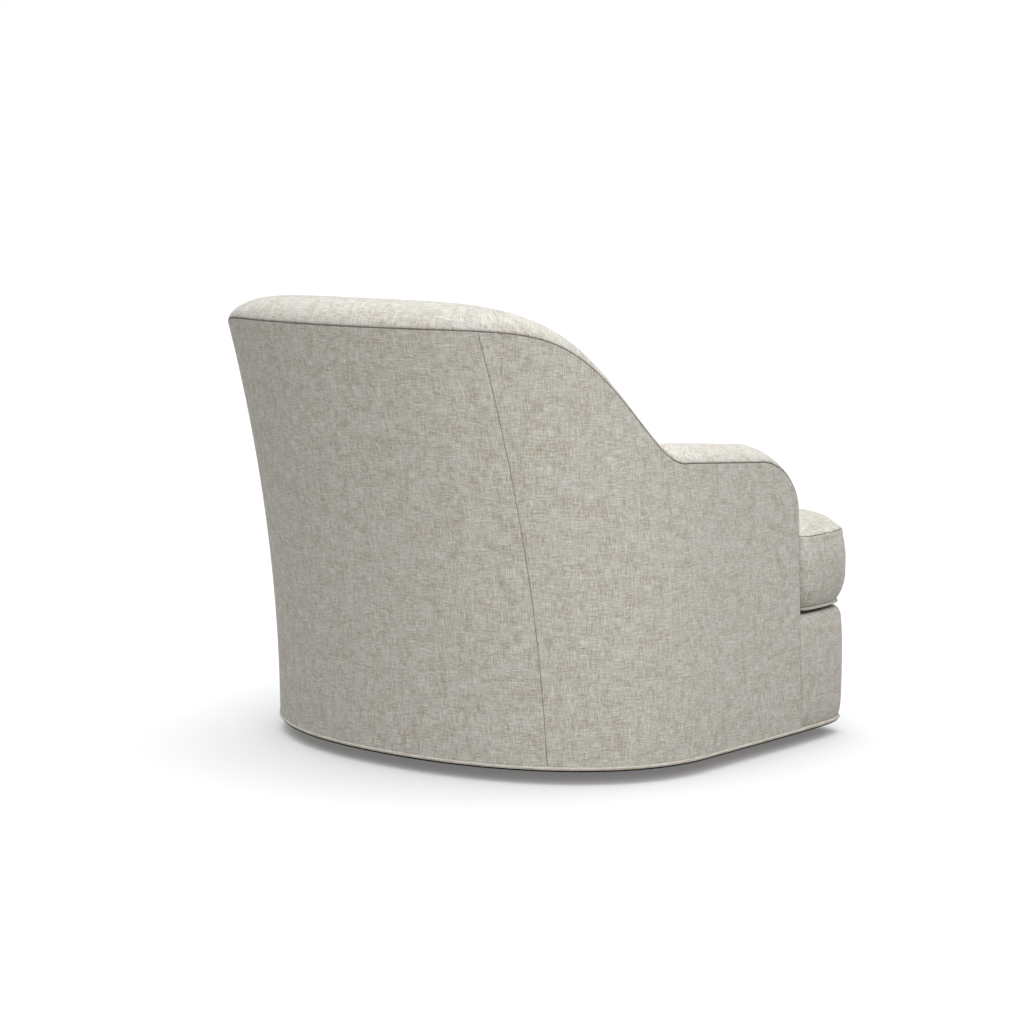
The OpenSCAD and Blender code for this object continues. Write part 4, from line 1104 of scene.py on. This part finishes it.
def cloth_material(name, linen, light, dark, fleck, pitch=0.0013, contrast=1.55, flecks=0.55,
                   bump=0.25, sheen=0.15, level=False):
    """Cloth with its weave along the piece's own cloth coordinates, or level with the floor."""
    material, tree, shader = new_material(name)
    if level:
        cloth = put(tree, "ShaderNodeTexCoord").outputs["Object"]
    else:
        cloth = put(tree, "ShaderNodeUVMap", uv_map="cloth").outputs[0]
    weave = put(tree, "ShaderNodeGroup",
                {"Cloth": cloth, "Light": light, "Dark": dark, "Fleck": fleck, "Pitch": pitch,
                 "Contrast": contrast, "Flecks": flecks}, node_tree=linen)
    feed(tree, shader, {
        "Base Color": weave.outputs["Colour"], "Roughness": weave.outputs["Roughness"],
        "Normal": relief(tree, weave.outputs["Height"], bump, 0.0006),
        "Specular IOR Level": 0.2, "Sheen Weight": sheen, "Sheen Roughness": 0.6})
    return material


def plain_material(name, colour, roughness, metallic=0.0, grain=400.0, spread=0.12, bump=0.1):
    """A coated or bare hard surface: its colour and gloss vary a little with a fine grain."""
    material, tree, shader = new_material(name)
    place = put(tree, "ShaderNodeTexCoord").outputs["Object"]
    fine = noise(tree, place, (grain,) * 3, 3, 0.6)
    broad = noise(tree, place, (12, 12, 12), 3, 0.6)
    dark = tuple(c * (1 - spread) for c in colour) + (1,)
    light = tuple(min(c * (1 + spread), 1) for c in colour) + (1,)
    both = maths(tree, "ADD", maths(tree, "MULTIPLY", fine, 0.5), maths(tree, "MULTIPLY", broad, 0.5))
    feed(tree, shader, {
        "Base Color": tinted(tree, ranged(tree, both, 0.35, 0.65), dark, light),
        "Roughness": ranged(tree, both, 0.3, 0.7, roughness * 0.85, min(roughness * 1.15, 1)),
        "Normal": relief(tree, fine, bump, 0.0004), "Metallic": metallic})
    return material


def metal_material(name, colour, worn, roughness, metallic, worn_metallic, peel, dust=0.1):
    """Coated or plated metal: a fine skin, rubbed places of another colour and gloss, and a film
    of dust on what faces up."""
    material, tree, shader = new_material(name)
    place = put(tree, "ShaderNodeTexCoord").outputs["Object"]
    skin = noise(tree, place, (peel,) * 3, 2, 0.5)
    rubbed = ranged(tree, noise(tree, place, (55, 55, 55), 5, 0.7), 0.6, 0.72)
    up = put(tree, "ShaderNodeSeparateXYZ",
             {0: put(tree, "ShaderNodeNewGeometry").outputs["Normal"]}).outputs["Z"]
    settled = maths(tree, "MULTIPLY", ranged(tree, up, 0.4, 1.0, 0.0, dust),
                    noise(tree, place, (140, 140, 140), 3, 0.6))
    bare = tinted(tree, maths(tree, "MULTIPLY", rubbed, 0.5), colour + (1,), worn + (1,))
    gloss = ranged(tree, skin, 0.3, 0.7, roughness - 0.06, roughness + 0.06)
    shine = ranged(tree, rubbed, 0, 1, metallic, worn_metallic)
    feed(tree, shader, {
        "Base Color": tinted(tree, settled, bare, DUST),
        "Roughness": maths(tree, "ADD", gloss, settled),
        "Metallic": maths(tree, "SUBTRACT", shine, settled, True),
        "Normal": relief(tree, skin, 0.15, 0.0003)})
    return material


def wood_material(name, light, dark, across, plies=None):
    """Sawn wood: fibres and broad figure along its length, and where a board is glued up, its
    plies in stripes through the thickness."""
    material, tree, shader = new_material(name)
    place = put(tree, "ShaderNodeTexCoord").outputs["Object"]
    fibre = noise(tree, place, tuple(9.0 * k for k in across), 3, 0.65)
    figure = noise(tree, place, tuple(0.9 * k for k in across), 2, 0.5)
    tone = maths(tree, "ADD", maths(tree, "MULTIPLY", fibre, 0.6),
                 maths(tree, "MULTIPLY", figure, 0.4))
    if plies is not None:
        depth = put(tree, "ShaderNodeSeparateXYZ", {0: place}).outputs[plies]
        turns = maths(tree, "MULTIPLY", depth, 2 * math.pi / PLY_PITCH)
        stripes = ranged(tree, maths(tree, "SINE", turns), -0.3, 0.3, -0.11, 0.11)
        tone = maths(tree, "ADD", tone, stripes)
    feed(tree, shader, {
        "Base Color": tinted(tree, ranged(tree, tone, 0.33, 0.67), dark + (1,), light + (1,)),
        "Roughness": ranged(tree, fibre, 0.3, 0.7, 0.78, 0.6),
        "Normal": relief(tree, fibre, 0.25, 0.0004), "Specular IOR Level": 0.3})
    return material


LINEN = linen_group()
COVER = cloth_material("linen_cover", LINEN, (0.65, 0.635, 0.588, 1), (0.345, 0.33, 0.288, 1),
                       (0.31, 0.262, 0.19, 1))
# Painted highlight: the cords' linen is a lighter copy of the cover's, so that the cords read as lit
LIT_CORD_CLOTH = cloth_material("linen_cord_lit", LINEN, (0.70, 0.68, 0.62, 1), (0.40, 0.375, 0.32, 1),
                            (0.38, 0.30, 0.22, 1))
# Partly painted shade: the dark seam threads also stand in for the shade in the seam grooves
THREAD_AND_SHADE = plain_material("seam_thread_and_shade", (0.15, 0.13, 0.11), 0.9)
STEEL_BLACK = metal_material("powder_coat_black", (0.028, 0.028, 0.03), (0.10, 0.10, 0.105), 0.42,
                             0.0, 0.3, 1500.0)
STEEL_ZINC = metal_material("zinc_plate", (0.60, 0.61, 0.62), (0.42, 0.42, 0.40), 0.34, 1.0, 1.0,
                            500.0)
BALL_STEEL = metal_material("ball_steel", (0.55, 0.55, 0.56), (0.30, 0.27, 0.22), 0.16, 1.0, 1.0,
                            300.0, 0.0)
SPRING_STEEL = metal_material("spring_steel", (0.16, 0.16, 0.17), (0.24, 0.17, 0.12), 0.4, 1.0,
                              0.8, 600.0)
NYLON_BLACK = plain_material("nylon_black", (0.02, 0.02, 0.02), 0.5)
NYLON_WHITE = plain_material("nylon_natural", (0.78, 0.75, 0.68), 0.5)
BIRCH = (0.62, 0.46, 0.29), (0.40, 0.26, 0.14)
BEECH = (0.56, 0.36, 0.22), (0.36, 0.20, 0.11)
PLY_FACING_FRONT = wood_material("plywood_facing_front", *BIRCH, (2, 30, 30), 1)
PLY_FACING_SIDE = wood_material("plywood_facing_side", *BIRCH, (30, 2, 30), 0)
PLY_FLAT = wood_material("plywood_flat", *BIRCH, (30, 2, 30), 2)
PLY_FLAT_ACROSS = wood_material("plywood_flat_across", *BIRCH, (2, 30, 30), 2)
PLY_UPRIGHT = wood_material("plywood_upright", *BIRCH, (30, 30, 2))
HARDWOOD = wood_material("hardwood", *BEECH, (2, 30, 30))
DUST_CLOTH = cloth_material("dust_cloth", LINEN, (0.03, 0.03, 0.032, 1), (0.01, 0.01, 0.011, 1),
                            (0.05, 0.05, 0.05, 1), 0.0008, 1.0, 0.2, 0.4, 0.0, True)
DECK_CLOTH = cloth_material("deck_cloth", LINEN, (0.62, 0.60, 0.55, 1), (0.44, 0.42, 0.37, 1),
                            (0.40, 0.36, 0.30, 1), 0.0010, 1.0, 0.2, 0.25, 0.1, True)

NODE_FINISHES = {
    "base_ring": STEEL_BLACK, "floor_glides": NYLON_BLACK, "lower_race": STEEL_ZINC,
    "bearing_balls": BALL_STEEL, "king_bolt": STEEL_ZINC, "king_nut": STEEL_ZINC,
    "upper_race": STEEL_ZINC, "rocker_cradle": STEEL_BLACK, "pivot_bushings": NYLON_WHITE,
    "lower_spring_seats": STEEL_BLACK, "cradle_bolts": STEEL_ZINC, "rocker_bracket": STEEL_BLACK,
    "pivot_pins": STEEL_ZINC, "upper_spring_seats": STEEL_BLACK, "bracket_bolts": STEEL_ZINC,
    "spring_clips": STEEL_ZINC, "seat_deck": DECK_CLOTH, "dust_cover": DUST_CLOTH,
    "cross_rails": HARDWOOD, "corner_blocks": HARDWOOD, "front_rail": PLY_FACING_FRONT,
    "bottom_back_rail": PLY_FLAT_ACROSS, "seat_back_rail": PLY_FLAT_ACROSS,
    "arm_board_left": PLY_FACING_SIDE, "arm_board_right": PLY_FACING_SIDE,
    "back_posts": PLY_UPRIGHT, "wing_rail_left": PLY_UPRIGHT, "wing_rail_right": PLY_UPRIGHT,
    "top_rail": PLY_UPRIGHT, "front_board_left": PLY_UPRIGHT, "front_board_right": PLY_UPRIGHT,
}
for node_name, node_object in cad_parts.items():
    finish = NODE_FINISHES.get(node_name, PLY_FLAT)
    node_object.data.materials.clear()
    node_object.data.materials.append(finish)

# The covered pieces, each in the place of its node
arm_line = arm_places()
back_line = back_places()
arm_pad_line = arm_places(CROWN_SEAM)
covered = [
    (outer_panel("panel_back", back_line, COVER), "outer_back"),
    (outer_panel("panel_arm_right", arm_line, COVER), "outer_arm_right"),
    (outer_panel("panel_arm_left", 4 - arm_line[::-1], COVER), "outer_arm_left"),
    (pad("pad_back", back_places(CROWN_SEAM), COVER), "inner_back"),
    (pad("pad_arm_right", arm_pad_line, COVER), "inner_arm_right"),
    (pad("pad_arm_left", 4 - arm_pad_line[::-1], COVER), "inner_arm_left"),
    (facing("face_arm_right", 1, COVER), "arm_front_right"),
    (facing("face_arm_left", -1, COVER), "arm_front_left"),
    (apron(COVER), "front_apron"),
    (bottom_welt(LIT_CORD_CLOTH), "bottom_welt"),
]
for piece, node_name in covered:
    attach(piece, "seat")
    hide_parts(node_name)

# Painted shade: the dark strip under the bottom welt
shade_strip = bottom_shade_strip(DUST_CLOTH)
# Seam threads: partly stitching, partly painted shade in the grooves
top_thread_and_shade, upright_thread_and_shade = seam_threads_and_shade(THREAD_AND_SHADE)
for piece, node_name in ((shade_strip, "dust_cover"), (top_thread_and_shade, "inner_back"),
                         (upright_thread_and_shade, "outer_back")):
    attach(piece, "seat")

loose = cushion(COVER)
cord_inset = FOOT_INSET - WELT_R - SEAM_GAP
cord_path = resampled(cushion_ring(cord_inset, LOW_SEAM_Z), CORD_STEP)
cushion_cord = cords("cushion_cord", [cord_path], WELT_R, CORD_SIDES, LIT_CORD_CLOTH)
for piece, node_name in ((loose, "seat_cushion"), (cushion_cord, "cushion_welt")):
    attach(piece, "cushion")
    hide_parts(node_name)
cushion_stitches_and_shade = cushion_thread_and_shade(loose, THREAD_AND_SHADE)
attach(cushion_stitches_and_shade, "cushion")

for piece, node_name in ((coil_springs("coils_front", -1, SPRING_STEEL), "front_springs"),
                         (coil_springs("coils_rear", 1, SPRING_STEEL), "rear_springs")):
    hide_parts(node_name)
strands = zigzag_springs(SPRING_STEEL)
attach(strands, "seat")
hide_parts("seat_springs")

# Floor, lights and camera
WHITE = 1, 1, 1, 1
FLOOR_HALF = 12.0
FLOOR_THROWN = 0.42, 0.412, 0.395, 1
FLOOR_SEEN = 0.57, 0.57, 0.57, 1
FLOOR_GLOW = 0.17


def floor_piece():
    """A wide pale floor: it throws back less light than it shows, and is a little bright of its
    own, as the sweep of a studio is."""
    material, tree, shader = new_material("floor_pale")
    seen = put(tree, "ShaderNodeLightPath").outputs["Is Camera Ray"]
    feed(tree, shader, {
        "Base Color": tinted(tree, seen, FLOOR_THROWN, FLOOR_SEEN), "Roughness": 0.9,
        "Specular IOR Level": 0.0, "Emission Color": WHITE,
        "Emission Strength": maths(tree, "MULTIPLY", seen, FLOOR_GLOW)})
    mesh = bpy.data.meshes.new("floor")
    mesh.from_pydata([(x * FLOOR_HALF, y * FLOOR_HALF, 0) for x, y in
                      ((-1, -1), (1, -1), (1, 1), (-1, 1))], [], [(0, 1, 2, 3)])
    mesh.materials.append(material)
    made = bpy.data.objects.new("floor", mesh)
    bpy.context.scene.collection.objects.link(made)


def soft_light(name, place, target, size, power_w):
    """A large square lamp that looks at a target."""
    lamp = bpy.data.lights.new(name, "AREA")
    lamp.shape = "SQUARE"
    lamp.size = size
    lamp.energy = power_w
    made = bpy.data.objects.new(name, lamp)
    made.location = place
    made.rotation_euler = (Vector(target) - Vector(place)).to_track_quat("-Z", "Y").to_euler()
    made.visible_camera = False
    bpy.context.scene.collection.objects.link(made)


ZENITH = 4.1
SKY = 0.98, 0.985, 1.0, 1
LAMP_PLACE = -1.9, 1.5, 1.1
LAMP_TARGET = 0.0, 0.0, 0.5
LAMP_SIZE = 1.2
LAMP_POWER = 18.2


def studio():
    """A white room: light that grows with the cube of its height, and a lamp at the side."""
    world = bpy.data.worlds.new("studio")
    bpy.context.scene.world = world
    world.use_nodes = True
    tree = world.node_tree
    back = tree.nodes["Background"]
    seen = put(tree, "ShaderNodeLightPath").outputs["Is Camera Ray"]
    way = put(tree, "ShaderNodeSeparateXYZ",
              {0: put(tree, "ShaderNodeTexCoord").outputs["Generated"]})
    high = maths(tree, "MAXIMUM", way.outputs["Z"], 0.0)
    glow = maths(tree, "MULTIPLY", maths(tree, "POWER", high, 3.0), ZENITH)
    feed(tree, back, {"Color": tinted(tree, seen, SKY, WHITE),
                      "Strength": maths(tree, "MAXIMUM", glow, seen)})
    soft_light("side", LAMP_PLACE, LAMP_TARGET, LAMP_SIZE, LAMP_POWER)


LENS = 99.66
SENSOR_W = 36.0
CAMERA_PLACE = -3.4400, 4.0859, 1.1300
CAMERA_WAY = 0.6374, -0.7596, -0.1291


def camera():
    """The photograph's view: from behind the chair and to its side, level and a little high."""
    lens = bpy.data.cameras.new("camera")
    lens.lens = LENS
    lens.sensor_width = SENSOR_W
    made = bpy.data.objects.new("camera", lens)
    made.location = CAMERA_PLACE
    made.rotation_euler = Vector(CAMERA_WAY).to_track_quat("-Z", "Y").to_euler()
    bpy.context.scene.collection.objects.link(made)
    bpy.context.scene.camera = made


floor_piece()
studio()
camera()
bpy.context.scene.view_settings.view_transform = "Standard"
